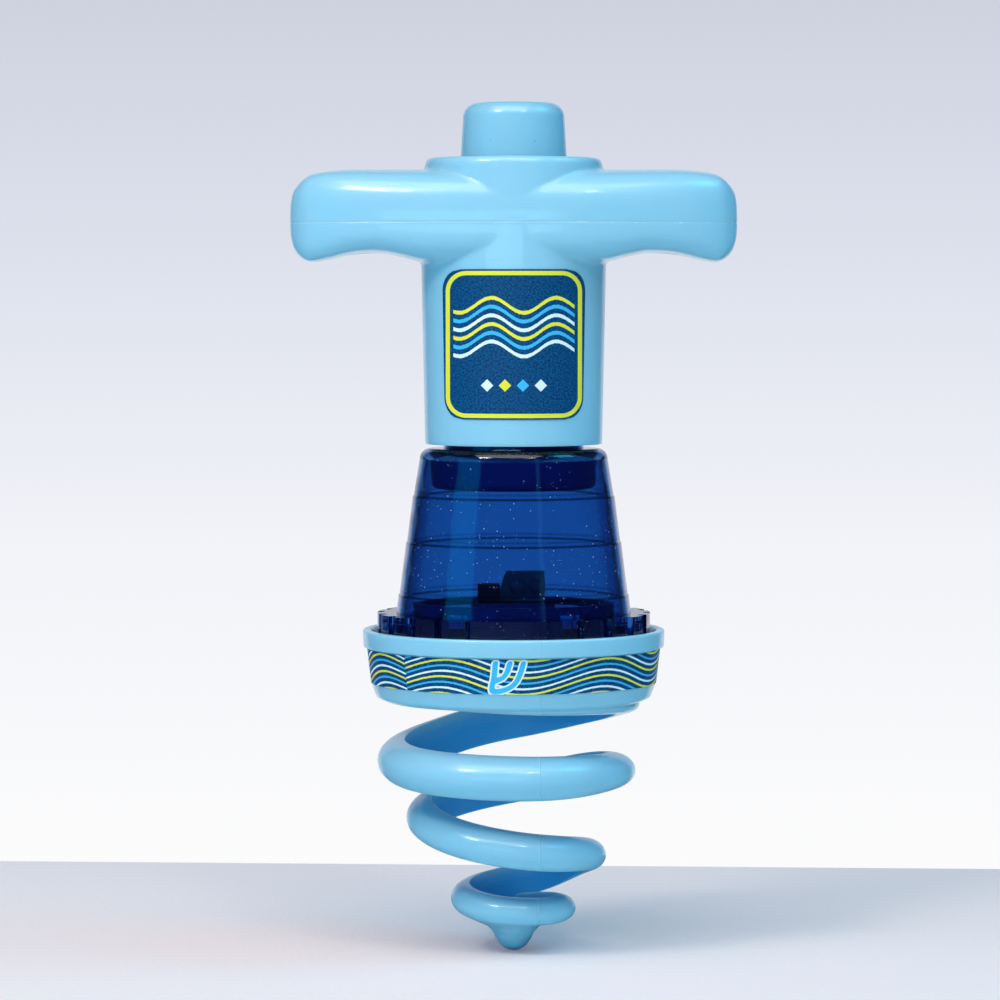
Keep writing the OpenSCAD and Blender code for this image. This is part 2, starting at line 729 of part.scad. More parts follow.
module button_cells() {
    first_x = run_x + contact_t + fit_gap;
    color("silver") for (i = [0:cell_count - 1]) along_box(first_x + i * (cell_h + fit_gap)) {
        cylinder(r = cell_r, h = cell_h - cell_cap);
        cylinder(r = cell_r - 2 * cell_cap, h = cell_h);
    }
}

module battery_contacts() {
    color("gold") for (x = [run_x, run_x + contact_t + cell_run]) along_box(x)
        cylinder(r = cell_r - cell_cap, h = contact_t);
}

// Motion switch on the battery box, left of the lamps
module motion_switch() {
    lamps_left = box_w / 2 - box_left - 1.5 * led_pitch - led_r - led_rim;
    left = lamps_left - switch_gap - switch_w;
    color("black") {
        translate([left, -switch_d, box_z]) cube([switch_w, switch_d, switch_h]);
        translate([left + switch_w / 2, -switch_d, box_z + switch_h / 2]) rotate([90, 0, 0])
            cylinder(r = switch_cap_r, h = switch_cap_h);
    }
}

module circuit_board() {
    right = box_w / 2 - box_left;
    color("darkgreen") translate([0, board_t + free_gap, box_z]) rotate([90, 0, 0])
        linear_extrude(height = board_t)
            polygon([[right - board_w, 0], [right, 0], [right, board_h],
                [right - board_w + board_slant, board_h]]);
}

module leds() {
    color("white") for (i = [0, 1])
        translate([box_w / 2 - box_left - led_pitch / 2 - i * led_pitch, free_gap, box_z + board_h / 2])
            rotate([90, 0, 0]) rotate_extrude() polygon(concat([[0, 0], [led_r + led_rim, 0],
                [led_r + led_rim, led_rim * 2], [led_r, led_rim * 2]],
                arc(0, led_h - led_r, led_r, 0, 90, 6)));
}

// One section of the spiral's strand: flat inside, round outside
function strand(u) =
    let(r = along(radius_shares, u) * spiral_r, z = along(height_shares, u) * spiral_h,
        h = along(strand_shares, u) * strand_h / 2, t = along(thickness_shares, u) * strand_t,
        a = 90 * u - 180, bulge = t * bulge_share,
        profile = concat([[r - t, -h]],
            [for (k = [0:bulge_points - 1]) let(b = -90 + 180 * k / (bulge_points - 1))
                [r - bulge + bulge * cos(b), h * sin(b)]], [[r - t, h]]))
    [for (p = profile) [p[0] * cos(a), p[0] * sin(a), z + p[1]]];

strand_rings = [for (i = [0:quarters * quarter_steps]) strand(i / quarter_steps)];

// Least distance between points of rings that lie three quarters of a turn to one and a quarter apart
echo(least_gap_in_spiral = min([for (i = [0:len(strand_rings) - 1],
    j = [i + turn_steps - quarter_steps:i + turn_steps + quarter_steps])
    if (j < len(strand_rings)) min([for (p = strand_rings[i], q = strand_rings[j]) norm(p - q)])]));

function tip_outline(gap) = concat([[0, -gap]],
    arc(0, tip_r, tip_r + gap, -90, -nub_turn, 7),
    [for (s = flare_shares) [s[0] * tip_r + gap, s[1] * tip_h]],
    [[web_r + gap, tip_h + web_rise - gap], [web_r + gap, tip_h + web_rise + web_t + gap],
        [0, tip_h + web_rise + gap]]);

module bounce_spiral() {
    color("skyblue") difference() {
        skin(strand_rings);
        translate([0, 0, ring_z]) cylinder(r = ring_r, h = ring_h);
        rotate_extrude() polygon(tip_outline(label_gap));
    }
}

module spring_tip() {
    color("skyblue") rotate_extrude() polygon(tip_outline(0));
}

handle_upper_shell();
handle_lower_shell();
handle_screws();
stem_label();
partition_plate();
spindle_bush();
pawl_pin();
push_button();
button_spring();
pawl();
pawl_spring();
spindle();
ratchet_wheel();
spindle_clip();
spring_hub();
main_spring();
drive_chuck();
chuck_screw();
dome();
drive_well();
ring_cup();
band_label();
light_tray();
tray_screws();
battery_box();
button_cells();
battery_contacts();
motion_switch();
circuit_board();
leds();
bounce_spiral();
spring_tip();
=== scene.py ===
# Bouncing dreidel with a T-handled wind-up launcher: finishes, labels, floor, light and camera
import math
from contextlib import contextmanager

import bmesh
import bpy
import numpy as np
from mathutils import Matrix, Vector


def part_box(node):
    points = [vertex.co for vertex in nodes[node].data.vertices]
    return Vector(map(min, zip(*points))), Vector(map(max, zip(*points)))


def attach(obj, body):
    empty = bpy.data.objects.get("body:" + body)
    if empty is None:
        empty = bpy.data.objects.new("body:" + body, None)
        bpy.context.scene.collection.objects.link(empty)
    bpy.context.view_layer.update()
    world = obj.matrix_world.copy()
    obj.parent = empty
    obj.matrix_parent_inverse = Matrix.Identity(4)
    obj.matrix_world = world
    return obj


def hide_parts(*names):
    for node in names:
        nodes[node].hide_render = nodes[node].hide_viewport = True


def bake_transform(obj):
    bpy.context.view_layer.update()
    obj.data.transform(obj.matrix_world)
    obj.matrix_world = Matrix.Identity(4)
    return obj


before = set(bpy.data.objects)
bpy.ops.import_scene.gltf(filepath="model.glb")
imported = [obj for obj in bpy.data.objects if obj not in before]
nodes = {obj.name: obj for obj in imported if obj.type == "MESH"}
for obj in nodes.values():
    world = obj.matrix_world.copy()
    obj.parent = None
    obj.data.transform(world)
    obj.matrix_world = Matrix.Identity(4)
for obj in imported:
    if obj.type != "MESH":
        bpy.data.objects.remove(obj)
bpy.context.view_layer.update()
scene = bpy.context.scene
mm = 0.001
print("frame loaded:", len(nodes), "nodes")

# Levels and sizes that the pieces share, read from the frame
lowerLow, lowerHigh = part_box("handle_lower_shell")
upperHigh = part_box("handle_upper_shell")[1]
ringLow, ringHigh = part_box("ring_cup")
stemZ, seamZ, collarZ = lowerLow.z, lowerHigh.z, upperHigh.z
ringZ, rimZ, ringR = ringLow.z, ringHigh.z, ringHigh.x


# Mesh helpers

def makeObject(name, verts, faces):
    mesh = bpy.data.meshes.new(name)
    mesh.from_pydata([tuple(v) for v in verts], [], faces)
    mesh.validate()
    obj = bpy.data.objects.new(name, mesh)
    scene.collection.objects.link(obj)
    return obj


@contextmanager
def edited(obj):
    # opens the mesh for editing and writes it back
    work = bmesh.new()
    work.from_mesh(obj.data)
    yield work
    work.to_mesh(obj.data)
    work.free()


def tidyMesh(obj, distance=1e-6):
    # merges doubles and turns the faces outwards
    with edited(obj) as work:
        bmesh.ops.remove_doubles(work, verts=work.verts, dist=distance)
        bmesh.ops.recalc_face_normals(work, faces=work.faces)


def smoothByAngle(obj, degrees):
    obj.data.shade_smooth()
    with edited(obj) as work:
        for edge in work.edges:
            edge.smooth = len(edge.link_faces) == 2 and edge.calc_face_angle(0) < math.radians(degrees)


def roundedPath(corners, steps=5):
    # corners are (x, z, radius of the fillet); a closed outline comes back
    path = []
    count = len(corners)
    for i, (x, z, radius) in enumerate(corners):
        here = Vector((x, z))
        if radius <= 0:
            path.append((x, z))
            continue
        before = Vector(corners[i - 1][:2]) - here
        after = Vector(corners[(i + 1) % count][:2]) - here
        turn = before.angle(after)
        reach = min(radius / math.tan(turn / 2), 0.49 * before.length, 0.49 * after.length)
        start = here + before.normalized() * reach
        end = here + after.normalized() * reach
        for k in range(steps + 1):
            t = k / steps
            point = start * (1 - t) ** 2 + here * 2 * t * (1 - t) + end * t ** 2
            path.append((point.x, point.y))
    return path


def revolve(name, path, steps=192):
    # turns a closed outline of (radius, z) round the axis; points on the axis become one
    verts, rings = [], []
    angles = [2 * math.pi * k / steps for k in range(steps)]
    for radius, z in path:
        if radius < 1e-7:
            rings.append([len(verts)] * steps)
            verts.append((0, 0, z))
        else:
            rings.append(list(range(len(verts), len(verts) + steps)))
            verts += [(radius * math.cos(a), radius * math.sin(a), z) for a in angles]
    faces = []
    for i, ring in enumerate(rings):
        other = rings[(i + 1) % len(rings)]
        for k in range(steps):
            n = (k + 1) % steps
            face = list(dict.fromkeys((ring[k], ring[n], other[n], other[k])))
            if len(face) > 2:
                faces.append(face)
    obj = makeObject(name, verts, faces)
    tidyMesh(obj, 1e-7)
    return obj


def cylinderAt(name, x, radius, low, high, steps=96):
    obj = revolve(name, [(0, low), (radius, low), (radius, high), (0, high)], steps)
    obj.data.transform(Matrix.Translation((x, 0, 0)))
    return obj


def boxAt(name, low, high):
    verts = [(x, y, z) for x in (low[0], high[0]) for y in (low[1], high[1]) for z in (low[2], high[2])]
    faces = [(0, 1, 3, 2), (4, 6, 7, 5), (0, 4, 5, 1), (2, 3, 7, 6), (0, 2, 6, 4), (1, 5, 7, 3)]
    return makeObject(name, verts, faces)


def applied(obj):
    # bakes the modifiers into a plain mesh
    evaluated = obj.evaluated_get(bpy.context.evaluated_depsgraph_get())
    mesh = bpy.data.meshes.new_from_object(evaluated)
    obj.modifiers.clear()
    old = obj.data
    obj.data = mesh
    mesh.name = obj.name
    bpy.data.meshes.remove(old)
    return obj


def combine(obj, other, operation="DIFFERENCE"):
    modifier = obj.modifiers.new("combine", "BOOLEAN")
    modifier.operation = operation
    modifier.solver = "EXACT"
    modifier.object = other
    applied(obj)
    bpy.data.objects.remove(other)


def softened(obj, voxel, rounds):
    # one skin with blended inner corners
    remesh = obj.modifiers.new("remesh", "REMESH")
    remesh.mode = "VOXEL"
    remesh.voxel_size = voxel
    smooth = obj.modifiers.new("smooth", "SMOOTH")
    smooth.factor = 0.5
    smooth.iterations = rounds
    applied(obj)


def easeSharpLoop(obj, z, depth, tolerance=2e-6, leastSide=0.15):
    # draws the loop of vertices at one level into the wall, so that the edge catches light
    normals = [v.normal.copy() for v in obj.data.vertices]
    for v, normal in zip(obj.data.vertices, normals):
        if abs(v.co.z - z) < tolerance:
            side = Vector((normal.x, normal.y, 0))
            if side.length > leastSide:
                v.co -= side.normalized() * depth


def finishPiece(obj, node, body, material, smooth=None):
    # a finished piece: it rides on its body and stands for its CAD node
    if smooth:
        smoothByAngle(obj, smooth)
    if material:
        obj.data.materials.append(material)
    if body:
        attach(obj, body)
    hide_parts(node)


# Node helpers: a Field is an output socket, and Python's operators on it make math nodes

class Field:
    def __init__(self, socket):
        self.socket, self.tree = socket, socket.id_data

    def __add__(self, other):
        return mathNode("ADD", self, other)

    def __sub__(self, other):
        return mathNode("SUBTRACT", self, other)

    def __rsub__(self, other):
        return mathNode("SUBTRACT", other, self)

    def __mul__(self, other):
        return mathNode("MULTIPLY", self, other)

    def __truediv__(self, other):
        return mathNode("DIVIDE", self, other)

    def __pow__(self, other):
        return mathNode("POWER", self, other)

    def __lt__(self, other):
        return mathNode("LESS_THAN", self, other)

    def __gt__(self, other):
        return mathNode("GREATER_THAN", self, other)

    def __abs__(self):
        return mathNode("ABSOLUTE", self)


def feed(socket, value):
    if isinstance(value, Field):
        value.tree.links.new(value.socket, socket)
    else:
        socket.default_value = value


def feedAll(node, **values):
    # a node's own settings and its inputs, by name
    for key, value in values.items():
        if hasattr(node, key):
            setattr(node, key, value)
        else:
            feed(node.inputs[key.replace("_", " ")], value)


def addNode(tree, kind, **values):
    node = tree.nodes.new(kind)
    feedAll(node, **values)
    return node


def result(node, output=0):
    return Field(node.outputs[output])


def mathNode(operation, *values, clamp=False):
    tree = next(value.tree for value in values if isinstance(value, Field))
    node = addNode(tree, "ShaderNodeMath", operation=operation, use_clamp=clamp)
    for socket, value in zip(node.inputs, values):
        feed(socket, value)
    return result(node)


def mixColours(factor, first, second):
    node = addNode(factor.tree, "ShaderNodeMix", data_type="RGBA")
    for index, value in ((0, factor), (6, first), (7, second)):
        feed(node.inputs[index], value)
    return result(node, 2)


def mixShaders(factor, first, second):
    node = addNode(factor.tree, "ShaderNodeMixShader")
    for socket, value in zip(node.inputs, (factor, first, second)):
        feed(socket, value)
    return result(node)


def xyzOf(place):
    return [Field(socket) for socket in addNode(place.tree, "ShaderNodeSeparateXYZ", Vector=place).outputs]


def noiseAt(place, scale, detail, roughness=0.5):
    return result(addNode(place.tree, "ShaderNodeTexNoise", noise_dimensions="3D", Vector=place,
                          Scale=scale, Detail=detail, Roughness=roughness))


def centred(noise, width):
    # the noise round nought, over this width
    return noise * width - width / 2


def attributeOf(tree, name, output="Fac"):
    return result(addNode(tree, "ShaderNodeAttribute", attribute_name=name), output)


def newGroup(kind, name, inputs, outputs):
    # a tree with named inputs and outputs; an input is given as its socket type or as its default number
    group = bpy.data.node_groups.new(name, kind)
    for label, value in inputs.items():
        named = isinstance(value, str)
        socketType = "NodeSocket" + (value if named else type(value).__name__.capitalize())
        socket = group.interface.new_socket(label, in_out="INPUT", socket_type=socketType)
        if not named:
            socket.default_value = value
    for label, value in outputs.items():
        group.interface.new_socket(label, in_out="OUTPUT", socket_type="NodeSocket" + value)
    ins, outs = group.nodes.new("NodeGroupInput"), group.nodes.new("NodeGroupOutput")
    return group, {label: result(ins, label) for label in inputs}, outs


def useGroup(place, group, **values):
    # the group's outputs, in their order
    node = addNode(place.tree, "ShaderNodeGroup", node_tree=group, Place=place, **values)
    return [Field(socket) for socket in node.outputs]


# Moulded skin: slow flow unevenness, fine grain, and a little variation of colour and gloss
def makeMouldedSkin():
    group, ins, outs = newGroup(
        "ShaderNodeTree", "mouldedSkin",
        {"Place": "Vector", "Flow Size": 60.0, "Grain Size": 2600.0, "Flow Share": 0.7},
        {"Height": "Float", "Shade": "Float", "Gloss": "Float"})
    place, flowSize, grainSize, flowShare = ins.values()
    flow = noiseAt(place, flowSize, detail=2.0, roughness=0.4)
    grain = noiseAt(place, grainSize, detail=3.0, roughness=0.6)
    patch = noiseAt(place, scale=110.0, detail=4.0, roughness=0.55)
    # the noise spreads to about nought and one
    feedAll(outs, Height=flow * flowShare + grain * (1.0 - flowShare), Shade=patch * 1.3 - 0.15,
            Gloss=flow * 1.3 - 0.15)
    return group


# Parting line of the mould: a fine raised line where Offset is nought, wider at its nicks
def makePartingLine():
    group, ins, outs = newGroup(
        "ShaderNodeTree", "partingLine",
        {"Place": "Vector", "Offset": 0.0, "Width": 0.00012, "Nicks": 0.0}, {"Mask": "Float"})
    place, offset, width, nicks = ins.values()
    wobble = centred(noiseAt(place, scale=220.0, detail=2.0), 0.0002)
    # only the peaks of the noise are nicks
    chip = mathNode("MULTIPLY_ADD", noiseAt(place, scale=700.0, detail=2.0), 9.0, -5.6, clamp=True)
    near = abs(offset + wobble) / (width * (chip * nicks + 1.0))
    feed(outs.inputs["Mask"], mathNode("SUBTRACT", 1.0, near, clamp=True))
    return group


# Dust: sparse bright specks of uneven size
def makeDustSpecks():
    group, ins, outs = newGroup(
        "ShaderNodeTree", "dustSpecks",
        {"Place": "Vector", "Density": 420.0, "Amount": 0.1}, {"Mask": "Float"})
    place, density, amount = ins.values()
    cells = addNode(group, "ShaderNodeTexVoronoi", voronoi_dimensions="3D", Vector=place, Scale=density,
                    Randomness=1.0)
    parts = addNode(group, "ShaderNodeSeparateColor")
    feed(parts.inputs[0], result(cells, "Color"))
    # few cells have a large speck, and the specks lie in drifts
    near = result(cells, "Distance") < result(parts) ** 4.0 * (amount * 2.2)
    chosen = noiseAt(place, scale=70.0, detail=1.0) > 0.47
    feed(outs.inputs["Mask"], near * chosen)
    return group


# Print: the fine mottle of ink on film
def makePrintMottle():
    group, ins, outs = newGroup(
        "ShaderNodeTree", "printMottle", {"Place": "Vector", "Dot Size": 2.2}, {"Shade": "Float"})
    dots = noiseAt(ins["Place"], ins["Dot Size"], detail=2.0, roughness=0.7)
    # the noise with its contrast raised
    feed(outs.inputs["Shade"], mathNode("MULTIPLY_ADD", dots, 4.2, -1.6, clamp=True))
    return group


mouldedSkin = makeMouldedSkin()
partingLine = makePartingLine()
dustSpecks = makeDustSpecks()
printMottle = makePrintMottle()


def newMaterial(name):
    # the material, its shader, and the place on the object
    material = bpy.data.materials.new(name)
    material.use_nodes = True
    tree = material.node_tree
    return material, tree.nodes["Principled BSDF"], result(tree.nodes.new("ShaderNodeTexCoord"), "Object")


def skinOf(place, look):
    # height, colour patches and gloss
    return useGroup(place, mouldedSkin, Flow_Size=look["flow"], Grain_Size=look["grain"],
                    Flow_Share=look["flowShare"])


def addBump(principled, height, distance):
    bump = addNode(principled.id_data, "ShaderNodeBump", Strength=1.0, Distance=distance, Height=height)
    feed(principled.inputs["Normal"], result(bump))


# Plastics
def mouldedPlastic(name, colour, shade, roughness, look):
    material, principled, place = newMaterial(name)
    height, patch, gloss = skinOf(place, look)
    mixed = mixColours(patch, colour, shade)
    if "inner" in look:
        # painted shade: the strand's inner face is coloured a deeper blue, standing in for the shade between
        # the coils
        mixed = mixColours(attributeOf(place.tree, "innerFaceShade") * look["innerShadeShare"], mixed, look["inner"])
    if "speck" in look:
        specks, = useGroup(place, dustSpecks, Density=look["speckDensity"], Amount=look["speckAmount"])
        mixed = mixColours(specks * look["speckShare"], mixed, look["speck"])
    if "parting" in look:
        axis, plane = look["parting"]
        x, y, z = xyzOf(place)
        line, = useGroup(place, partingLine, Offset=(x if axis == "X" else z) - plane,
                         Width=look["partingWidth"], Nicks=look["partingNicks"])
        if axis == "X":
            # the spring's mould parts only along its front
            line = line * (y < 0.0)
        # the paler colour of the parting line is a painted highlight, standing in for the glint along its
        # raised edge
        mixed = mixColours(line * look["partingGlintShare"], mixed, look["partingGlintColour"])
        height = height + line * look["partingRise"]
    feedAll(principled, Base_Color=mixed, Roughness=gloss * look["glossSpread"] + roughness)
    if "depth" in look:
        feedAll(principled, Subsurface_Weight=look["depthWeight"], Subsurface_Radius=look["depthColours"],
                Subsurface_Scale=look["depth"], Coat_Weight=look["coat"],
                Coat_Roughness=look["coatRoughness"])
    addBump(principled, height, look["bump"])
    return material


# Roughness stays above 0.28 everywhere, because the gloss breaks up into patches below it
softLook = {"flow": 55.0, "grain": 3000.0, "flowShare": 0.8, "bump": 0.00012, "glossSpread": 0.08,
            "depth": 0.0018, "depthWeight": 0.22, "depthColours": (0.35, 0.8, 1.0),
            "coat": 0.5, "coatRoughness": 0.07, "speck": (0.02, 0.12, 0.2, 1), "speckDensity": 230.0,
            "speckAmount": 0.018, "speckShare": 0.6}
shellLook = dict(softLook, parting=("Z", seamZ), partingWidth=0.00014, partingRise=0.6, partingNicks=1.6,
                 partingGlintShare=0.75, partingGlintColour=(0.52, 0.82, 0.95, 1))
# the spring's inner colour is painted shade: a deeper blue on the strand's inner face, where the coils shade
# each other
springLook = dict(shellLook, depth=0.004, depthWeight=0.4, parting=("X", 0.0052), partingWidth=0.00018,
                  partingRise=1.2, partingNicks=0.8, inner=(0.004, 0.36, 0.72, 1), innerShadeShare=0.85)
darkLook = {"flow": 80.0, "grain": 2600.0, "flowShare": 0.5, "bump": 0.00006, "glossSpread": 0.12}
blueDye = (0.335, 0.59, 0.7, 1), (0.305, 0.565, 0.69, 1)
lightBlue = mouldedPlastic("lightBluePlastic", *blueDye, 0.29, shellLook)
buttonBlue = mouldedPlastic("lightBluePlasticOfTheButton", (0.29, 0.55, 0.66, 1), (0.265, 0.53, 0.65, 1),
                            0.29, softLook)
springBlue = mouldedPlastic("lightBluePlasticOfTheSpring", *blueDye, 0.29, springLook)
navyPlastic = mouldedPlastic("navyPlastic", (0.032, 0.095, 0.44, 1), (0.024, 0.075, 0.36, 1), 0.3, darkLook)
blackPlastic = mouldedPlastic("blackPlastic", (0.01, 0.01, 0.014, 1), (0.02, 0.02, 0.024, 1), 0.4, darkLook)
whiteAcetal = mouldedPlastic("whiteAcetal", (0.72, 0.72, 0.7, 1), (0.66, 0.66, 0.64, 1), 0.4, darkLook)
amberAcetal = mouldedPlastic("amberAcetal", (0.62, 0.32, 0.06, 1), (0.55, 0.27, 0.05, 1), 0.38, darkLook)
boardGreen = mouldedPlastic("boardGreen", (0.09, 0.29, 0.24, 1), (0.07, 0.25, 0.21, 1), 0.32, darkLook)


# Clear blue plastic of the dome, with painted dark lines where its wall steps, standing in for the shade at
# each step
domeLook = {"flow": 45.0, "grain": 900.0, "flowShare": 0.9, "bump": 0.00003, "roughness": 0.03,
            "glossSpread": 0.03, "tint": ((0.092, 0.295, 0.63, 1), (0.078, 0.27, 0.59, 1)), "index": 1.5,
            "dustAndGlow": 0.5, "dustDensity": 1500.0, "dustAmount": 0.076, "dustGlowColour": (0.75, 0.85, 1.0, 1),
            "dustRoughness": 0.5,
            "flangeTop": 0.0698, "flangeMargin": 0.0002, "flangeShade": 0.85,
            "flangeTint": (0.008, 0.085, 0.38, 1), "roof": 0.1035,
            "steps": [0.107, 0.427, 0.709], "doubleLift": 0.0009, "doubleShade": 0.45,
            "lineWidth": 0.00034, "lineShade": 0.97, "stepShadeColour": (0.0, 0.004, 0.03, 1),
            "edgeFacing": (0.52, 0.66), "edgeShade": 0.8, "edgeTint": (0.004, 0.05, 0.26, 1)}


def stepLines(z):
    # a mask of thin level lines of painted shade, each with a fainter second line above it
    total = None
    for share in domeLook["steps"]:
        level = domeLook["flangeTop"] + share * (domeLook["roof"] - domeLook["flangeTop"])
        for lift, weight in ((0.0, 1.0), (domeLook["doubleLift"], domeLook["doubleShade"])):
            off = abs(z - (level + lift)) / domeLook["lineWidth"]
            near = mathNode("SUBTRACT", 1.0, off, clamp=True) * weight
            total = mathNode("MAXIMUM", total, near) if total else near
    return total


def clearBlue():
    look = domeLook
    material, principled, place = newMaterial("clearBluePlastic")
    height, patch, gloss = skinOf(place, look)
    dustAndGlow, = useGroup(place, dustSpecks, Density=look["dustDensity"], Amount=look["dustAmount"])
    z = xyzOf(place)[2]
    tint = mixColours(patch, *look["tint"])
    # the dye is deeper where the eye looks along the wall, and in the thick toothed flange
    facing = result(addNode(place.tree, "ShaderNodeLayerWeight", Blend=0.5), "Facing")
    low, high = look["edgeFacing"]
    along = addNode(place.tree, "ShaderNodeMapRange", interpolation_type="SMOOTHSTEP", Value=facing,
                    From_Min=low, From_Max=high)
    tint = mixColours(result(along) * look["edgeShade"], tint, look["edgeTint"])
    below = z < look["flangeTop"] + look["flangeMargin"]
    tint = mixColours(below * look["flangeShade"], tint, look["flangeTint"])
    # painted shade: the step lines darken the tint
    tint = mixColours(stepLines(z) * look["lineShade"], tint, look["stepShadeColour"])
    # the dust specks also glow faintly: painted light, standing in for the light that real dust catches
    feedAll(principled, Base_Color=tint, Transmission_Weight=1.0, IOR=look["index"],
            Roughness=dustAndGlow * look["dustRoughness"] + (gloss * look["glossSpread"] + look["roughness"]),
            Emission_Color=mixColours(dustAndGlow, (0, 0, 0, 1), look["dustGlowColour"]), Emission_Strength=look["dustAndGlow"])
    addBump(principled, height, look["bump"])
    return material


domeBlue = clearBlue()


# Metals and lamps
metalLook = {"flow": 300.0, "flowShare": 0.3, "darker": 0.8, "glossSpread": 0.15, "bump": 0.00004}
lensLook = {"flow": 200.0, "grain": 2000.0, "flowShare": 0.8, "roughness": 0.12, "glossSpread": 0.1,
            "tint": ((0.85, 0.88, 0.9, 1), (0.75, 0.8, 0.84, 1)), "clear": 0.7, "bump": 0.00002}


def plainMetal(name, colour, roughness, grain):
    look = dict(metalLook, grain=grain)
    material, principled, place = newMaterial(name)
    height, patch = skinOf(place, look)[:2]
    darker = tuple(c * look["darker"] for c in colour[:3]) + (1,)
    feedAll(principled, Base_Color=mixColours(patch, colour, darker), Metallic=1.0,
            Roughness=patch * look["glossSpread"] + roughness)
    addBump(principled, height, look["bump"])
    return material


zincSteel = plainMetal("zincSteel", (0.56, 0.56, 0.57, 1), 0.3, 2400.0)
springSteel = plainMetal("springSteel", (0.5, 0.5, 0.51, 1), 0.29, 3600.0)
cellSteel = plainMetal("cellSteel", (0.62, 0.62, 0.6, 1), 0.29, 1800.0)
contactBrass = plainMetal("contactBrass", (0.7, 0.5, 0.22, 1), 0.3, 2000.0)


def lampLens():
    look = lensLook
    material, principled, place = newMaterial("lampLens")
    height, patch, gloss = skinOf(place, look)
    feedAll(principled, Base_Color=mixColours(patch, *look["tint"]), Transmission_Weight=look["clear"],
            Roughness=gloss * look["glossSpread"] + look["roughness"])
    addBump(principled, height, look["bump"])
    return material


lampClear = lampLens()
print("materials ready")


# Handle: a loft over stations from tip to tip, blended into the drum, the collar and the stem
handle = {
    "width": upperHigh.x, "depth": 0.0188, "up": 0.0109, "down": 0.0084, "wall": 0.002, "power": 3.8,
    "stations": [1, 0.996, 0.985, 0.967, 0.94, 0.9, 0.82, 0.72, 0.6, 0.5, 0.42, 0.3, 0.15, 0],
    "ups": [0.1, 0.4, 0.58, 0.7, 0.82, 0.915, 0.975, 1, 1, 1, 1, 1, 1, 1],
    "downs": [0.1, 0.34, 0.57, 0.74, 0.87, 0.94, 0.87, 0.75, 0.72, 0.82, 0.93, 1, 1, 1],
    "depths": [0.05, 0.13, 0.22, 0.3, 0.39, 0.47, 0.58, 0.68, 0.775, 0.84, 0.89, 0.95, 0.985, 1],
    "drumR": 0.0189, "collarDraft": 0.0009, "collarRound": 0.0016, "stemDraft": 0.0008,
    "screwX": 0.0304, "recessR": 0.0033, "bossR": 0.0046, "screwZ": seamZ - 0.002,
    "neckBoreR": 0.0162, "ledgeR": 0.0134, "boreR": 0.0152, "buttonHoleR": 0.01115,
    "ledgeLow": 0.1218, "ledgeHigh": 0.123, "plateZ": 0.1465,
    "lap": 0.0012, "over": 0.001, "clear": 0.01, "reachX": 0.06, "reachY": 0.03,
    "voxel": 0.00042, "smoothing": 4, "seamEase": 0.00006, "footEase": 0.00012, "smooth": 40,
}
gripZ = seamZ - handle["down"]


def between(table, u):
    # smooth curve through the entries of a table
    last = len(table) - 1
    i = min(int(u), last - 1)
    f = u - i
    a, b, c, d = table[max(i - 1, 0)], table[i], table[i + 1], table[min(i + 2, last)]
    return (b + f * (c - a) / 2 + f * f * (a - 2.5 * b + 2 * c - d / 2)
            + f ** 3 * (1.5 * (b - c) + (d - a) / 2))


def gripLoft(name, side, inset, foot, fine=6, around=40):
    # the half of the grip above or below the seam, which it laps by its foot
    heights = handle["ups"] if side > 0 else handle["downs"]
    reach = (handle["up"] if side > 0 else handle["down"]) - inset
    count = (len(handle["stations"]) - 1) * fine
    p = 2 / handle["power"]
    verts = []
    for i in range(-count, count + 1):
        u = (count - abs(i)) / fine
        x = math.copysign(between(handle["stations"], u), i) * (handle["width"] - inset)
        depth = between(handle["depths"], u) * (handle["depth"] - inset)
        h = between(heights, u) * reach
        for k in range(around + 1):
            a = math.pi * k / around
            y = -math.copysign(abs(math.cos(a)) ** p, math.cos(a)) * depth
            rise = -foot if k in (0, around) else h * math.sin(a) ** p
            verts.append((x, y, seamZ + side * rise))
    m = around + 1
    faces = [tuple(range(m)), tuple(range(2 * count * m, 2 * count * m + m))]
    for i in range(2 * count):
        for k in range(m):
            p, q = i * m + k, i * m + (k + 1) % m
            faces.append((p, q, q + m, p + m))
    obj = makeObject(name, verts, faces)
    tidyMesh(obj, 1e-7)
    return obj


def cutSlab(obj, low, high):
    x, y = handle["reachX"], handle["reachY"]
    combine(obj, boxAt("slab", (-x, -y, low), (x, y, high)))


def blendedGrip(name, side, outline):
    # the grip's half and the turned body as one skin, cut off at the seam
    obj = gripLoft(name, side, 0, handle["lap"])
    combine(obj, revolve("drum", outline, 160), "UNION")
    softened(obj, handle["voxel"], handle["smoothing"])
    cutSlab(obj, *sorted((seamZ, seamZ - side * handle["clear"])))
    return obj


def upperShell():
    drumR, wall, over, clear = (handle[key] for key in ("drumR", "wall", "over", "clear"))
    obj = blendedGrip("handle_upper", 1, roundedPath([
        (0, seamZ - handle["lap"], 0), (drumR, seamZ - handle["lap"], 0),
        (drumR - handle["collarDraft"], collarZ, handle["collarRound"]), (0, collarZ, 0)], 8))
    hollow = gripLoft("hollow", 1, wall, over, 2, 16)
    combine(hollow, cylinderAt("drumCore", 0, drumR, seamZ - clear, collarZ + clear))
    combine(obj, hollow)
    combine(obj, revolve("buttonHole", [
        (0, seamZ - over), (handle["boreR"], seamZ - over), (handle["boreR"], collarZ - wall),
        (handle["buttonHoleR"], collarZ - wall), (handle["buttonHoleR"], collarZ + over),
        (0, collarZ + over)], 128))
    tidyMesh(obj)
    easeSharpLoop(obj, seamZ, handle["seamEase"])
    finishPiece(obj, "handle_upper_shell", "launcher", lightBlue, handle["smooth"])


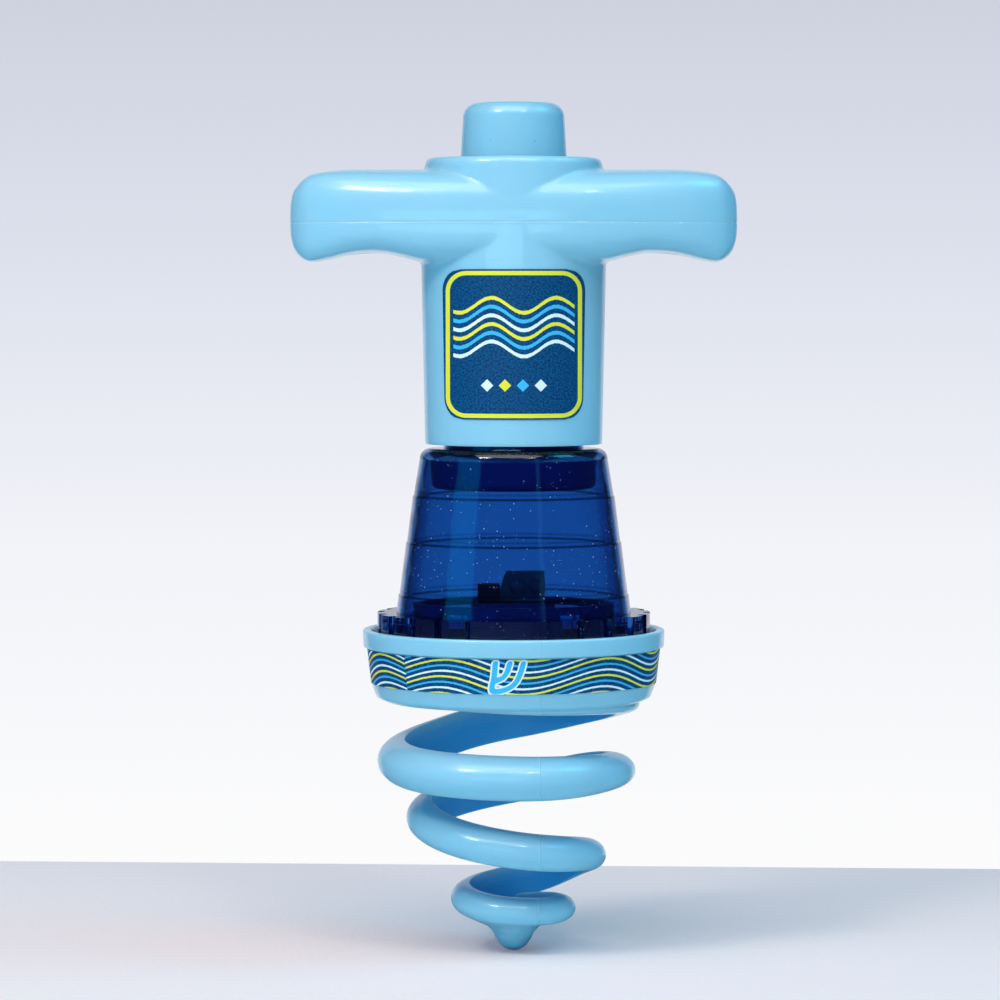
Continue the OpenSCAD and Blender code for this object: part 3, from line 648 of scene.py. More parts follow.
def lowerShell():
    drumR, neckR, over, clear = (handle[key] for key in ("drumR", "neckBoreR", "over", "clear"))
    low = stemZ - 2 * over
    obj = blendedGrip("handle_lower", -1, [
        (0, low), (drumR - handle["stemDraft"], low), (drumR, gripZ), (drumR, seamZ + handle["lap"]),
        (0, seamZ + handle["lap"])])
    cutSlab(obj, low - clear, stemZ)
    hollow = gripLoft("hollow", -1, handle["wall"], over, 2, 16)
    combine(hollow, cylinderAt("drumCore", 0, drumR, gripZ - clear, seamZ + clear))
    for side in (-1, 1):
        combine(hollow, cylinderAt("boss", side * handle["screwX"], handle["bossR"], gripZ - clear,
                                   seamZ + clear, 48))
    combine(obj, hollow)
    combine(obj, revolve("bore", [
        (0, stemZ - over), (neckR, stemZ - over), (neckR, handle["ledgeLow"]),
        (handle["ledgeR"], handle["ledgeLow"]), (handle["ledgeR"], handle["ledgeHigh"]),
        (handle["boreR"], handle["ledgeHigh"]), (handle["boreR"], handle["plateZ"]),
        (neckR, handle["plateZ"]), (neckR, seamZ + over), (0, seamZ + over)], 160))
    for side in (-1, 1):
        combine(obj, cylinderAt("recess", side * handle["screwX"], handle["recessR"], gripZ - 2 * over,
                                handle["screwZ"], 64))
    tidyMesh(obj)
    easeSharpLoop(obj, seamZ, handle["seamEase"])
    easeSharpLoop(obj, stemZ, handle["footEase"])
    finishPiece(obj, "handle_lower_shell", "launcher", lightBlue, handle["smooth"])


upperShell()
lowerShell()
print("handle shells ready")


# Spiral: a D-section strand whose radius, height and size follow curves along its length
spiral = {
    "radius": 0.028, "height": 0.0517, "strandH": 0.0087, "strandT": 0.0058, "turns": 3.75, "bulge": 0.92,
    "alongSteps": 900, "aroundSteps": 44, "innerPower": 0.36, "tableTop": 1.1, "capShare": 0.004,
    "radii": [0.93, 0.94, 0.925, 0.955, 1, 0.965, 0.893, 0.835, 0.788, 0.743, 0.677, 0.575, 0.46, 0.455,
              0.455, 0.33],
    "heights": [1.02, 1.005, 0.985, 0.882, 0.762, 0.732, 0.722, 0.62, 0.53, 0.44, 0.38, 0.242, 0.207,
                0.18, 0.172, 0.162],
    "strands": [0.12, 0.24, 0.52, 0.96, 1.01, 1.04, 0.85, 0.88, 0.9, 0.88, 0.8, 0.8, 0.72, 0.67, 0.62, 0.5],
    "thicknesses": [0.6, 0.7, 0.86, 0.98, 1, 1, 0.98, 0.95, 0.92, 0.88, 0.82, 0.76, 0.68, 0.64, 0.6, 0.56],
    "innerShadeSharpness": 6.0, "innerFade": 1.6, "foot": 0.006, "smooth": 60,
}


def bakedFromNodes(name, tree, values):
    # sets the modifier's inputs by identifier, then keeps the result as a plain mesh
    obj = makeObject(name, [(0, 0, 0)], [])
    modifier = obj.modifiers.new("shape", "NODES")
    modifier.node_group = tree
    for item in tree.interface.items_tree:
        if item.in_out == "INPUT" and item.name in values:
            modifier[item.identifier] = values[item.name]
    return applied(obj)


def finishTree(tree, geometry, material, outs):
    realize = addNode(tree, "GeometryNodeRealizeInstances", Geometry=geometry)
    finish = addNode(tree, "GeometryNodeSetMaterial", Geometry=result(realize), Material=material)
    feed(outs.inputs[0], result(finish))
    return tree


def tableCurve(u, table):
    # one of the strand's tables as a curve over the length
    node = addNode(u.tree, "ShaderNodeFloatCurve", Value=u)
    points = node.mapping.curves[0].points
    last, top = len(table) - 1, spiral["tableTop"]
    points[0].location, points[-1].location = (0, table[0] / top), (1, table[last] / top)
    for i in range(1, last):
        points.new(i / last, table[i] / top)
    node.mapping.update()
    return result(node) * top


def spiralTree():
    tree, ins, outs = newGroup("GeometryNodeTree", "spiralStrand", {
        "Geometry": "Geometry", "Radius": 0.028, "Height": 0.05, "Strand Height": 0.009,
        "Strand Thickness": 0.004, "Turns": 3.75, "Bulge": 0.6, "Inner Power": 0.36, "Cap Share": 0.004,
        "Steps Along": 400, "Steps Around": 32, "Material": "Material"}, {"Geometry": "Geometry"})
    grid = addNode(tree, "GeometryNodeMeshGrid", Vertices_X=ins["Steps Along"],
                   Vertices_Y=ins["Steps Around"])
    along, around = xyzOf(result(tree.nodes.new("GeometryNodeInputPosition")))[:2]
    u = mathNode("ADD", along, 0.5, clamp=True)
    v = (around + 0.5) * (2 * math.pi)
    radius = tableCurve(u, spiral["radii"]) * ins["Radius"]
    level = tableCurve(u, spiral["heights"]) * ins["Height"]
    tall = tableCurve(u, spiral["strands"]) * ins["Strand Height"]
    thick = tableCurve(u, spiral["thicknesses"]) * ins["Strand Thickness"]
    # round ends: the section closes over a short length
    near = mathNode("MINIMUM", u, 1.0 - u)
    cap = mathNode("SQRT", mathNode("DIVIDE", near, ins["Cap Share"], clamp=True))
    half = tall * 0.5 * cap
    bulge = thick * ins["Bulge"] * cap
    flat = thick * cap - bulge
    # the section: round outside, a flat with round corners inside
    cosV, sinV = mathNode("COSINE", v), mathNode("SINE", v)
    inner = cosV < 0.0
    power = inner * (ins["Inner Power"] - 1.0) + 1.0
    upward = abs(sinV) ** power * mathNode("SIGN", sinV)
    span = abs(cosV) ** power * (bulge * (1.0 - inner) - flat * inner)
    reach = radius - thick * ins["Bulge"] + span
    turn = u * ins["Turns"] * (2 * math.pi) - math.pi
    point = addNode(tree, "ShaderNodeCombineXYZ", X=reach * mathNode("COSINE", turn),
                    Y=reach * mathNode("SINE", turn), Z=level + upward * half)
    # the inner face is marked on the flat grid, before its points move; the mark carries the painted shade
    # there, full low on the face and fading out towards its top
    innerShadeMask = mathNode("MULTIPLY", cosV, -spiral["innerShadeSharpness"], clamp=True)
    fade = spiral["innerFade"]
    away = mathNode("MULTIPLY_ADD", upward, -fade, fade, clamp=True)
    inside = addNode(tree, "GeometryNodeStoreNamedAttribute", data_type="FLOAT", domain="POINT",
                     Geometry=result(grid), Name="innerFaceShade", Value=innerShadeMask * away)
    place = addNode(tree, "GeometryNodeSetPosition", Geometry=result(inside), Position=result(point))
    merge = addNode(tree, "GeometryNodeMergeByDistance", Geometry=result(place), Distance=0.000002)
    return finishTree(tree, result(merge), ins["Material"], outs)


def makeSpiral():
    strand = bakedFromNodes("spiral_strand", spiralTree(), {
        "Radius": spiral["radius"], "Height": spiral["height"], "Strand Height": spiral["strandH"],
        "Strand Thickness": spiral["strandT"], "Turns": spiral["turns"], "Bulge": spiral["bulge"],
        "Inner Power": spiral["innerPower"], "Cap Share": spiral["capShare"],
        "Steps Along": spiral["alongSteps"], "Steps Around": spiral["aroundSteps"] + 1,
        "Material": springBlue})
    tidyMesh(strand, 2e-6)
    smoothByAngle(strand, spiral["smooth"])
    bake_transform(strand)
    finishPiece(strand, "bounce_spiral", None, None)


makeSpiral()
print("spiral ready")


# Ring cup: floor, drafted wall with the label's seat, and a round-edged rim
ring = {"wall": 0.0017, "rimBand": 0.0036, "foot": 0.0035, "seat": 0.0009, "rimDraft": 0.00015,
        "bandDraft": 0.00085, "floor": 0.0022, "footRound": 0.0029, "footDrop": 0.0009, "smooth": 34}
bandTopR = ringR - ring["rimDraft"] - ring["seat"]
bandFootR = bandTopR - ring["bandDraft"]
bandLow = ringZ + ring["foot"]
bandHigh = rimZ - ring["rimBand"]


def makeRing():
    floorZ = ringZ + ring["floor"]
    path = roundedPath([
        (0, ringZ, 0), (bandFootR - ring["footRound"], ringZ, 0.0012),
        (bandFootR - ring["footDrop"], ringZ + ring["footDrop"], 0.0012), (bandFootR, bandLow, 0.0003),
        (bandTopR, bandHigh, 0.00008), (ringR - ring["rimDraft"], bandHigh, 0.00035), (ringR, rimZ, 0.0006),
        (ringR - ring["wall"], rimZ, 0.0006), (bandTopR - ring["wall"], bandHigh, 0.0004),
        (bandFootR - ring["wall"], floorZ, 0.0008), (0, floorZ, 0)])
    obj = revolve("ring_cup_body", path, 256)
    finishPiece(obj, "ring_cup", "dreidel", springBlue, ring["smooth"])


makeRing()

# Tip: round nub, flare and the web inside the last coil
tip = {"r": 0.0037, "h": 0.0034, "nubAngle": 70, "nubSteps": 14, "webR": 0.0096, "webRise": 0.0036,
       "webT": 0.0009, "smooth": 40,
       "flare": [(1.0, 0.76, 0.0), (1.12, 1.08, 0.0012), (1.46, 1.5, 0.002)]}  # shares of r and h, fillet


def makeTip():
    r, h = tip["r"], tip["h"]
    webZ = h + tip["webRise"]
    angles = (math.radians(tip["nubAngle"]) * k / tip["nubSteps"] for k in range(tip["nubSteps"] + 1))
    nub = [(r * math.sin(a), r * (1 - math.cos(a))) for a in angles]
    flare = roundedPath([(r * x, h * z, fillet) for x, z, fillet in tip["flare"]] + [
        (tip["webR"], webZ, 0.0004), (tip["webR"], webZ + tip["webT"], 0.0005), (0, webZ, 0.0)])
    obj = revolve("tip_nub", nub + flare, 128)
    finishPiece(obj, "spring_tip", "foot", springBlue, tip["smooth"])


makeTip()
print("ring and tip ready")


# Pieces that keep the CAD's shape, with eased edges
easing = {"flatAngle": 0.6, "bevelAngle": 40, "smooth": 32}


def dress(node, body, material, slot, bevel=0.0):
    obj = bpy.data.objects.new(node + "_finished", nodes[node].data.copy())
    scene.collection.objects.link(obj)
    obj.data.materials.clear()
    tidyMesh(obj)
    if bevel:
        with edited(obj) as work:
            bmesh.ops.dissolve_limit(work, angle_limit=math.radians(easing["flatAngle"]), verts=work.verts,
                                     edges=work.edges)
        modifier = obj.modifiers.new("bevel", "BEVEL")
        modifier.width = bevel
        modifier.segments = 2
        modifier.limit_method = "ANGLE"
        modifier.angle_limit = math.radians(easing["bevelAngle"])
        applied(obj)
    smoothByAngle(obj, easing["smooth"])
    # large flat faces keep their own direction, so that they mirror as flats
    obj.modifiers.new("flatFaces", "WEIGHTED_NORMAL").keep_sharp = True
    applied(obj)
    finishPiece(obj, node, body, material)


for piece in (
        ("push_button", "button", buttonBlue, "light_blue_plastic"),
        ("dome", "dreidel", domeBlue, "dome_blue"),
        ("drive_well", "dreidel", navyPlastic, "navy_plastic"),
        ("light_tray", "dreidel", navyPlastic, "navy_plastic"),
        ("battery_box", "dreidel", navyPlastic, "navy_plastic", 0.00025),
        ("motion_switch", "dreidel", blackPlastic, "black_plastic", 0.0002),
        ("circuit_board", "dreidel", boardGreen, "board_green", 0.00008),
        ("drive_chuck", "drive", navyPlastic, "navy_plastic"),
        ("handle_screws", "launcher", zincSteel, "steel"), ("tray_screws", "dreidel", zincSteel, "steel"),
        ("chuck_screw", "drive", zincSteel, "steel"), ("spindle", "drive", zincSteel, "steel"),
        ("spindle_clip", "drive", springSteel, "steel"), ("pawl_pin", "launcher", zincSteel, "steel"),
        ("button_cells", "dreidel", cellSteel, "cell_steel"),
        ("battery_contacts", "dreidel", contactBrass, "contact_brass"),
        ("leds", "dreidel", lampClear, "lamp_lens"),
        ("partition_plate", "launcher", whiteAcetal, "white_acetal"),
        ("spindle_bush", "launcher", whiteAcetal, "white_acetal"),
        ("ratchet_wheel", "drive", whiteAcetal, "white_acetal"),
        ("spring_hub", "drive", whiteAcetal, "white_acetal"),
        ("pawl", "catch", amberAcetal, "amber_acetal")):
    dress(*piece)
print("rigid pieces dressed")

# Round-wire springs inside the launcher
coils = {
    "main_spring": {"coil": 0.0095, "wire": 0.0009, "turns": 4.5, "body": "drive"},
    "button_spring": {"coil": 0.0056, "wire": 0.00045, "turns": 4.5, "body": "launcher"},
    "pawl_spring": {"coil": 0.00165, "wire": 0.00025, "turns": 3.0, "body": "launcher"},
}
coilSteps, coilSmooth = 40, 50  # steps a turn, and the angle up to which the wire is smooth


def wireTree():
    tree, ins, outs = newGroup("GeometryNodeTree", "wireCoil", {
        "Geometry": "Geometry", "Coil Radius": 0.005, "Wire Radius": 0.0005, "Turns": 4.0, "Low": 0.0,
        "Run": 0.01, "Steps": 200, "Material": "Material"}, {"Geometry": "Geometry"})
    helix = addNode(tree, "GeometryNodeCurveSpiral", Resolution=ins["Steps"] / ins["Turns"],
                    Rotations=ins["Turns"], Start_Radius=ins["Coil Radius"], End_Radius=ins["Coil Radius"],
                    Height=ins["Run"], Reverse=True)
    wire = addNode(tree, "GeometryNodeCurvePrimitiveCircle", Resolution=14, Radius=ins["Wire Radius"])
    sweep = addNode(tree, "GeometryNodeCurveToMesh", Curve=result(helix), Profile_Curve=result(wire),
                    Fill_Caps=True)
    lift = addNode(tree, "ShaderNodeCombineXYZ", Z=ins["Low"])
    move = addNode(tree, "GeometryNodeTransform", Geometry=result(sweep), Translation=result(lift))
    return finishTree(tree, result(move), ins["Material"], outs)


def makeCoils():
    tree = wireTree()
    for node, size in coils.items():
        low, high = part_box(node)
        obj = bakedFromNodes(node + "_wire", tree, {
            "Coil Radius": size["coil"], "Wire Radius": size["wire"], "Turns": size["turns"],
            "Low": low.z + size["wire"], "Run": high.z - low.z - 2 * size["wire"],
            "Steps": int(size["turns"] * coilSteps), "Material": springSteel})
        if node == "pawl_spring":
            obj.data.transform(Matrix.Translation(((low.x + high.x) / 2, (low.y + high.y) / 2, 0)))
        tidyMesh(obj)
        smoothByAngle(obj, coilSmooth)
        squashed = node == "button_spring"
        if squashed:
            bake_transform(obj)
        finishPiece(obj, node, None if squashed else size["body"], None)


makeCoils()
print("springs ready")


# Labels: printed film, with its print worked out from places on the film in millimetres
film = {"t": 0.00016, "gap": 0.00002, "smooth": 40}


def filmStrip(name, radiusAt, low, high, start, end, columns, rows):
    # a thin curved film; printPlace holds the place on it, in mm round from its middle and up
    verts, faces, places = [], [], []
    middle = (start + end) / 2
    for layer in (0, 1):
        for j in range(rows + 1):
            z = low + (high - low) * j / rows
            radius = radiusAt(z) + film["t"] * layer
            for i in range(columns + 1):
                a = start + (end - start) * i / columns
                verts.append((radius * math.sin(a), -radius * math.cos(a), z))
                places.append(((a - middle) * radius / mm, (z - low) / mm, float(layer)))
    m = columns + 1
    face = m * (rows + 1)
    for j in range(rows):
        for i in range(columns):
            p = j * m + i
            q = p + face
            faces += [(p, p + m, p + m + 1, p + 1), (q, q + 1, q + m + 1, q + m)]
    for j in range(rows):
        for i in (0, columns):
            p = j * m + i
            quad = (p, p + face, p + face + m, p + m)
            faces.append(quad if i else quad[::-1])
    for i in range(columns):
        for j in (0, rows):
            p = j * m + i
            quad = (p, p + 1, p + 1 + face, p + face)
            faces.append(quad[::-1] if j else quad)
    obj = makeObject(name, verts, faces)
    obj.data.attributes.new("printPlace", "FLOAT_VECTOR", "POINT")
    setPlaces(obj, places)
    return obj, np.array(places)


def setPlaces(obj, places):
    obj.data.attributes["printPlace"].data.foreach_set("vector", [c for place in places for c in place])


def setDistance(obj, name, values):
    attribute = obj.data.attributes.new(name, "FLOAT", "POINT")
    attribute.data.foreach_set("value", values.astype(np.float32))


inks = {"navy": (0.0, 0.024, 0.085, 1), "navyLight": (0.001, 0.095, 0.24, 1),
        "white": (0.86, 0.86, 0.84, 1), "yellow": (0.95, 0.76, 0.04, 1), "blue": (0.055, 0.42, 0.68, 1),
        "letter": (0.06, 0.46, 0.75, 1)}
filmLook = {"flow": 90.0, "grain": 3000.0, "flowShare": 0.8, "bump": 0.00005, "roughness": 0.42,
            "glossSpread": 0.1, "specular": 0.18, "dotSize": 2.6, "edgeScale": 2.4, "edgeWobble": 0.16}


def isNumber(field, number):
    return mathNode("COMPARE", field, number, 0.1)


def wavyLines(place, wave, blue):
    # parallel wavy lines: their mask, their inks (white, yellow and blue in turn) and their numbers
    x, y = xyzOf(place)[:2]
    swing = mathNode("SINE", x * (2 * math.pi / wave["length"]) + wave["phase"]) * wave["amplitude"]
    rough = centred(noiseAt(place, filmLook["edgeScale"], detail=3.0), filmLook["edgeWobble"])
    level = (y + swing) / wave["pitch"] + rough
    number = mathNode("FLOOR", level)
    mask = abs(level - number - 0.5) < wave["line"] / wave["pitch"] / 2
    third = mathNode("FLOORED_MODULO", number, 3.0)
    ink = mixColours(isNumber(third, 1.0), inks["white"], inks["yellow"])
    return mask, mixColours(isNumber(third, 0.0), ink, blue), number


def printedFilm(name, colourOf):
    look = filmLook
    material, principled, place = newMaterial(name)
    printPlace = attributeOf(place.tree, "printPlace", "Vector")
    mottle, = useGroup(printPlace, printMottle, Dot_Size=look["dotSize"])
    field = mixColours(mottle, inks["navy"], inks["navyLight"])
    feedAll(principled, Base_Color=colourOf(printPlace, field), Specular_IOR_Level=look["specular"],
            Roughness=mottle * look["glossSpread"] + look["roughness"])
    addBump(principled, skinOf(place, look)[0], look["bump"])
    return material


# Band round the ring: wavy lines all round, whose ends meet left of the front, and the four letters
band = {"joint": math.radians(-47), "gap": 0.002, "letterTurn": math.radians(-2),
        "crest": math.radians(5.7), "edge": 0.0003, "columns": 520, "rows": 20}
bandR = bandTopR + film["gap"]
bandWave = {"pitch": 1.12, "amplitude": 1.72, "length": 34.0, "line": 0.4}
crestAt = (band["crest"] - band["joint"] - math.pi) * bandR / mm
bandWave["phase"] = math.pi / 2 - crestAt * 2 * math.pi / bandWave["length"]

# Letters of the four sides of play, as strokes on a 7 by 7 mm field: lists of points
letters = {
    "shin": [[(-3.1, 3.0), (-2.6, 0.2), (-2.2, -3.0), (0.4, -2.9), (2.3, -1.6), (3.0, 0.6), (3.1, 3.0)],
             [(0.1, 3.0), (0.0, 1.2), (-0.7, -0.2), (-2.3, -0.9)]],
    "nun": [[(-0.8, 3.0), (0.9, 2.8), (1.3, 1.6), (1.3, -1.6), (0.9, -2.8), (-1.6, -3.0)]],
    "gimel": [[(-0.8, 3.0), (0.9, 2.8), (1.2, 1.4), (1.3, -0.8), (2.0, -3.0)],
              [(1.2, -1.2), (-0.3, -1.6), (-1.5, -3.0)]],
    "hei": [[(-2.4, 3.0), (0.9, 3.0), (2.2, 2.6), (2.5, 1.2), (2.5, -3.0)],
            [(-2.1, 0.6), (-2.2, -3.0)]],
}
letterStyle = {"stroke": 0.6, "outline": 0.36, "middle": 3.5, "scale": 0.9, "farAway": 1e3}


def smoothStroke(stroke, steps=6):
    # the stroke's points as a smooth curve
    xs, ys = zip(*stroke)
    return [(between(xs, i / steps), between(ys, i / steps)) for i in range((len(stroke) - 1) * steps + 1)]


def strokeDistance(points, stroke):
    # least distance from each point to a stroke of straight runs
    best = np.full(len(points), letterStyle["farAway"])
    for (ax, ay), (bx, by) in zip(stroke, stroke[1:]):
        along = np.array((bx - ax, by - ay))
        offset = points - np.array((ax, ay))
        t = np.clip(offset @ along / (along @ along), 0, 1)
        best = np.minimum(best, np.linalg.norm(offset - t[:, None] * along, axis=1))
    return best


def bandPrint(place, field):
    mask, lines = wavyLines(place, bandWave, inks["blue"])[:2]
    colour = mixColours(mask, field, lines)
    distance = attributeOf(place.tree, "letterDistance")
    colour = mixColours(distance < letterStyle["stroke"] + letterStyle["outline"], colour, inks["white"])
    return mixColours(distance < letterStyle["stroke"], colour, inks["letter"])


def bandLabel():
    low, high = bandLow + band["edge"], bandHigh - band["edge"]
    slope = ring["bandDraft"] / (bandHigh - bandLow)

    def radiusAt(z):
        return bandFootR + slope * (z - bandLow) + film["gap"]

    obj, places = filmStrip("band_print", radiusAt, low, high, band["joint"] + band["gap"],
                            band["joint"] + 2 * math.pi - band["gap"], band["columns"], band["rows"])
    middle = band["joint"] + math.pi
    distance = np.full(len(places), letterStyle["farAway"])
    for k, key in enumerate(("shin", "nun", "gimel", "hei")):
        turn = band["letterTurn"] + k * math.pi / 2
        across = ((turn - middle + math.pi) % (2 * math.pi) - math.pi) * bandR / mm
        local = (places[:, :2] - np.array((across, letterStyle["middle"]))) / letterStyle["scale"]
        for stroke in letters[key]:
            distance = np.minimum(distance, strokeDistance(local, smoothStroke(stroke)))
    setDistance(obj, "letterDistance", distance)
    finishPiece(obj, "band_label", "dreidel", printedFilm("bandPrint", bandPrint),
                film["smooth"])


bandLabel()

# Stem label, in mm: a rounded field with a yellow border, a wavy ribbon across it and four diamonds
stemLabel = {"w": 28.2, "h": 30.2, "round": 4.4, "border": 0.85, "inset": 0.35, "lift": 5.4,
             "diamondPitch": 3.6, "diamondDrop": 8.2, "diamond": 1.25, "ribbonLines": (-1, 4),
             "ribbonMargin": 0.7, "columns": 84, "rows": 72}
stemWave = {"pitch": 1.75, "amplitude": 1.5, "length": 13.0, "line": 0.75, "phase": 0.6}


def roundedField(points, w, h, radius):
    # signed distance to a rounded rectangle, below zero inside
    q = np.abs(points) - np.array((w / 2 - radius, h / 2 - radius))
    outside = np.linalg.norm(np.maximum(q, 0), axis=1)
    return outside + np.minimum(np.max(q, axis=1), 0) - radius


def stemPrint(place, field):
    edge = attributeOf(place.tree, "edgeDistance")
    borderIn = -stemLabel["inset"] - stemLabel["border"]
    mask, lines, number = wavyLines(place, stemWave, inks["letter"])
    lowLine, highLine = stemLabel["ribbonLines"]
    ribbon = mathNode("COMPARE", number, (lowLine + highLine) / 2, (highLine - lowLine) / 2 + 0.1)
    inside = ribbon * (edge < borderIn - stemLabel["ribbonMargin"])
    colour = mixColours(mask * inside, field, lines)
    # a row of four small diamonds in the same inks
    x, y = xyzOf(place)[:2]
    pitch = stemLabel["diamondPitch"]
    step = x / pitch
    number = mathNode("FLOOR", step)
    across = abs(step - number - 0.5) * pitch
    diamond = across + abs(y + stemLabel["diamondDrop"]) < stemLabel["diamond"]
    ink = mixColours(isNumber(number, -1.0), inks["white"], inks["yellow"])
    ink = mixColours(isNumber(number, 0.0), ink, inks["letter"])
    colour = mixColours(diamond * (abs(x) < 2 * pitch), colour, ink)
    return mixColours((edge > borderIn) * (edge < -stemLabel["inset"]), colour, inks["yellow"])


def makeStemLabel():
    low = stemZ + stemLabel["lift"] * mm
    high = low + stemLabel["h"] * mm
    slope = handle["stemDraft"] / (gripZ - stemZ)

    def radiusAt(z):
        return handle["drumR"] - handle["stemDraft"] + slope * (z - stemZ) + film["gap"]

    def flatPlaces():
        # places across and up from the label's middle
        return np.array([(v.co.x / mm, (v.co.z - low) / mm - h) for v in obj.data.vertices])

    w, h, radius = stemLabel["w"] / 2, stemLabel["h"] / 2, stemLabel["round"]
    half = math.asin(w * mm / radiusAt((low + high) / 2))
    obj = filmStrip("stem_print", radiusAt, low, high, -half, half, stemLabel["columns"],
                    stemLabel["rows"])[0]
    # rounds the corners by drawing the outline's cells in towards the rounded field
    for v, (x, y) in zip(obj.data.vertices, flatPlaces()):
        rise = abs(y)
        limit = w
        if rise > h - radius:
            limit = w - radius + math.sqrt(max(radius ** 2 - (rise - h + radius) ** 2, 0))
        turn = math.atan2(v.co.x, -v.co.y) * (limit / w)
        reach = math.hypot(v.co.x, v.co.y)
        v.co.x, v.co.y = reach * math.sin(turn), -reach * math.cos(turn)
    points = flatPlaces()
    setPlaces(obj, [(x, y, 0.0) for x, y in points])
    setDistance(obj, "edgeDistance", roundedField(points, 2 * w, 2 * h, radius))
    finishPiece(obj, "stem_label", "launcher", printedFilm("stemPrint", stemPrint),
                film["smooth"])


makeStemLabel()
print("labels ready")


# Floor, backdrop and lights
studio = {
    "far": 0.13, "slant": math.radians(-3.4), "half": 1.6, "near": -1.4,
    "table": ((0.88, 0.745, 0.69, 1), (0.82, 0.685, 0.63, 1)), "tableGrain": 900.0, "tableBump": 0.0002,
    "tableBounce": (0.8, 0.96, 0.98, 1), "tableGlow": (0.15, 0.09, 0.1, 1),
    "tableMirror": (0.16, 0.18, 0.26, 1), "tableRoughness": 0.7,
    "ambient": 0.33, "ambientColour": (0.2, 0.66, 1.0, 1), "roomEdge": 0.8, "backdropEdge": 0.92,
    "room": (0.02, 0.03, 0.08, 1), "backdropLow": -0.13, "backdropHigh": 0.07,
    "backdrop": [(0.0, (0.97, 0.97, 0.975, 1)), (0.35, (0.89, 0.90, 0.945, 1)),
                 (0.7, (0.72, 0.75, 0.84, 1)), (1.0, (0.61, 0.64, 0.735, 1))],
}


def makeFloor():
    turn = Matrix.Rotation(studio["slant"], 3, "Z")
    corners = [(-studio["half"], studio["near"]), (studio["half"], studio["near"]),
               (studio["half"], studio["far"]), (-studio["half"], studio["far"])]
    floor = makeObject("table_top", [turn @ Vector((x, y, 0)) for x, y in corners], [(0, 1, 2, 3)])
    material, principled, place = newMaterial("paleTable")
    grain = noiseAt(place, studio["tableGrain"], detail=4.0)
    rays = place.tree.nodes.new("ShaderNodeLightPath")
    seen = mixColours(grain, *studio["table"])
    unseen = mixColours(result(rays, "Is Glossy Ray"), studio["tableBounce"], studio["tableMirror"])
    # a faint glow that only the camera sees keeps the shadows light
    feedAll(principled, Base_Color=mixColours(result(rays, "Is Camera Ray"), unseen, seen),
            Emission_Color=studio["tableGlow"], Emission_Strength=result(rays, "Is Camera Ray"),
            Roughness=studio["tableRoughness"])
    addBump(principled, grain, studio["tableBump"])
    floor.data.materials.append(material)


makeFloor()


def makeWorld():
    world = bpy.data.worlds.new("studioWorld")
    scene.world = world
    world.use_nodes = True
    tree = world.node_tree
    tree.nodes.clear()
    y, z = xyzOf(result(tree.nodes.new("ShaderNodeTexCoord"), "Generated"))[1:]
    spread = addNode(tree, "ShaderNodeMapRange", Value=z, From_Min=studio["backdropLow"],
                     From_Max=studio["backdropHigh"])
    ramp = tree.nodes.new("ShaderNodeValToRGB")
    feed(ramp.inputs[0], result(spread))
    first, *middle, last = studio["backdrop"]
    elements = ramp.color_ramp.elements
    elements[0].position, elements[0].color = first
    elements[1].position, elements[1].color = last
    for position, colour in middle:
        elements.new(position).color = colour
    seen = addNode(tree, "ShaderNodeBackground", Color=result(ramp))
    ambient = addNode(tree, "ShaderNodeBackground", Color=studio["ambientColour"],
                      Strength=studio["ambient"])
    room = addNode(tree, "ShaderNodeBackground", Color=studio["room"])
    rays = tree.nodes.new("ShaderNodeLightPath")
    cameraRay = result(rays, "Is Camera Ray")
    # the backdrop is bright only behind the object; a gloss or a clear wall sees a dim room elsewhere
    behind = addNode(tree, "ShaderNodeMapRange", interpolation_type="SMOOTHSTEP", Value=y,
                     From_Min=studio["roomEdge"], From_Max=studio["backdropEdge"])
    around = mixShaders(mathNode("MAXIMUM", cameraRay, result(behind)), result(room), result(seen))
    shown = mathNode("MAXIMUM", cameraRay, result(rays, "Is Glossy Ray"))
    shown = mathNode("MAXIMUM", shown, result(rays, "Is Transmission Ray"))
    addNode(tree, "ShaderNodeOutputWorld", Surface=mixShaders(shown, result(ambient), around))


makeWorld()

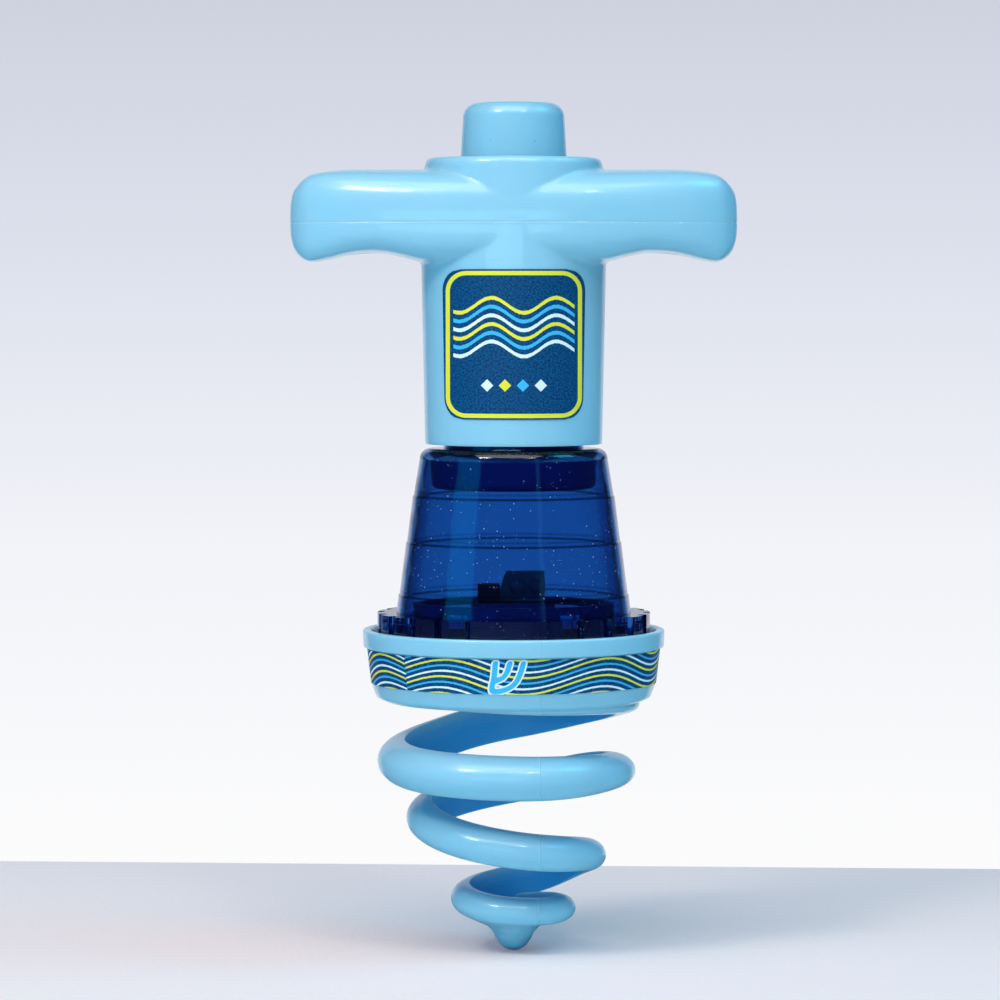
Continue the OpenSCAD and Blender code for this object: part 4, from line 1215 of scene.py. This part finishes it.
# Lights: azimuth and elevation in degrees, distance, size, power and colour
white = (1.0, 0.99, 0.97)
lights = {
    "topSoftbox": (-12, 62, 1.0, (1.1, 0.7), 7.3, white),
    "leftSoftbox": (-43, 42, 0.9, (0.2, 0.16), 2.0, white),
    "rightSoftbox": (26, 42, 0.9, (0.1, 0.1), 0.5, white),
    "wideStrip": (-57, 14, 0.9, (0.48, 0.5), 0.85, (0.0, 0.46, 1.0)),
    "rightFill": (82, 48, 0.9, (0.4, 0.3), 2.4, (0.05, 0.62, 1.0)),
    "lowFill": (-12, 3, 0.95, (0.8, 0.12), 1.2, (0.4, 0.74, 0.92)),
    "narrowStrip": (29, 14, 1.0, (0.08, 0.5), 0.06, (0.15, 0.6, 1.0)),
}
aim = Vector((0, 0, 0.09))


def addLight(name, azimuth, elevation, distance, size, power, colour):
    lamp = bpy.data.lights.new(name, "AREA")
    lamp.shape = "RECTANGLE"
    lamp.size, lamp.size_y = size
    lamp.energy = power
    lamp.color = colour
    obj = bpy.data.objects.new(name, lamp)
    scene.collection.objects.link(obj)
    azimuth, elevation = math.radians(azimuth), math.radians(elevation)
    away = Vector((math.sin(azimuth) * math.cos(elevation), -math.cos(azimuth) * math.cos(elevation),
                   math.sin(elevation)))
    obj.location = aim + away * distance
    obj.rotation_euler = (-away).to_track_quat("-Z", "Y").to_euler()


for name, light in lights.items():
    addLight(name, *light)

camera = {"height": 0.1359, "distance": 0.881, "side": -0.0028, "lens": 154.8, "sensor": 36, "near": 0.01,
          "tilt": 2.8}
cameraData = bpy.data.cameras.new("productCamera")
cameraData.lens = camera["lens"]
cameraData.sensor_width = camera["sensor"]
cameraData.clip_start = camera["near"]
cameraObject = bpy.data.objects.new("productCamera", cameraData)
scene.collection.objects.link(cameraObject)
cameraObject.location = (camera["side"], -camera["distance"], camera["height"])
cameraObject.rotation_euler = (math.radians(90 - camera["tilt"]), 0, 0)
scene.camera = cameraObject
scene.view_settings.view_transform = "Standard"
print("studio ready")
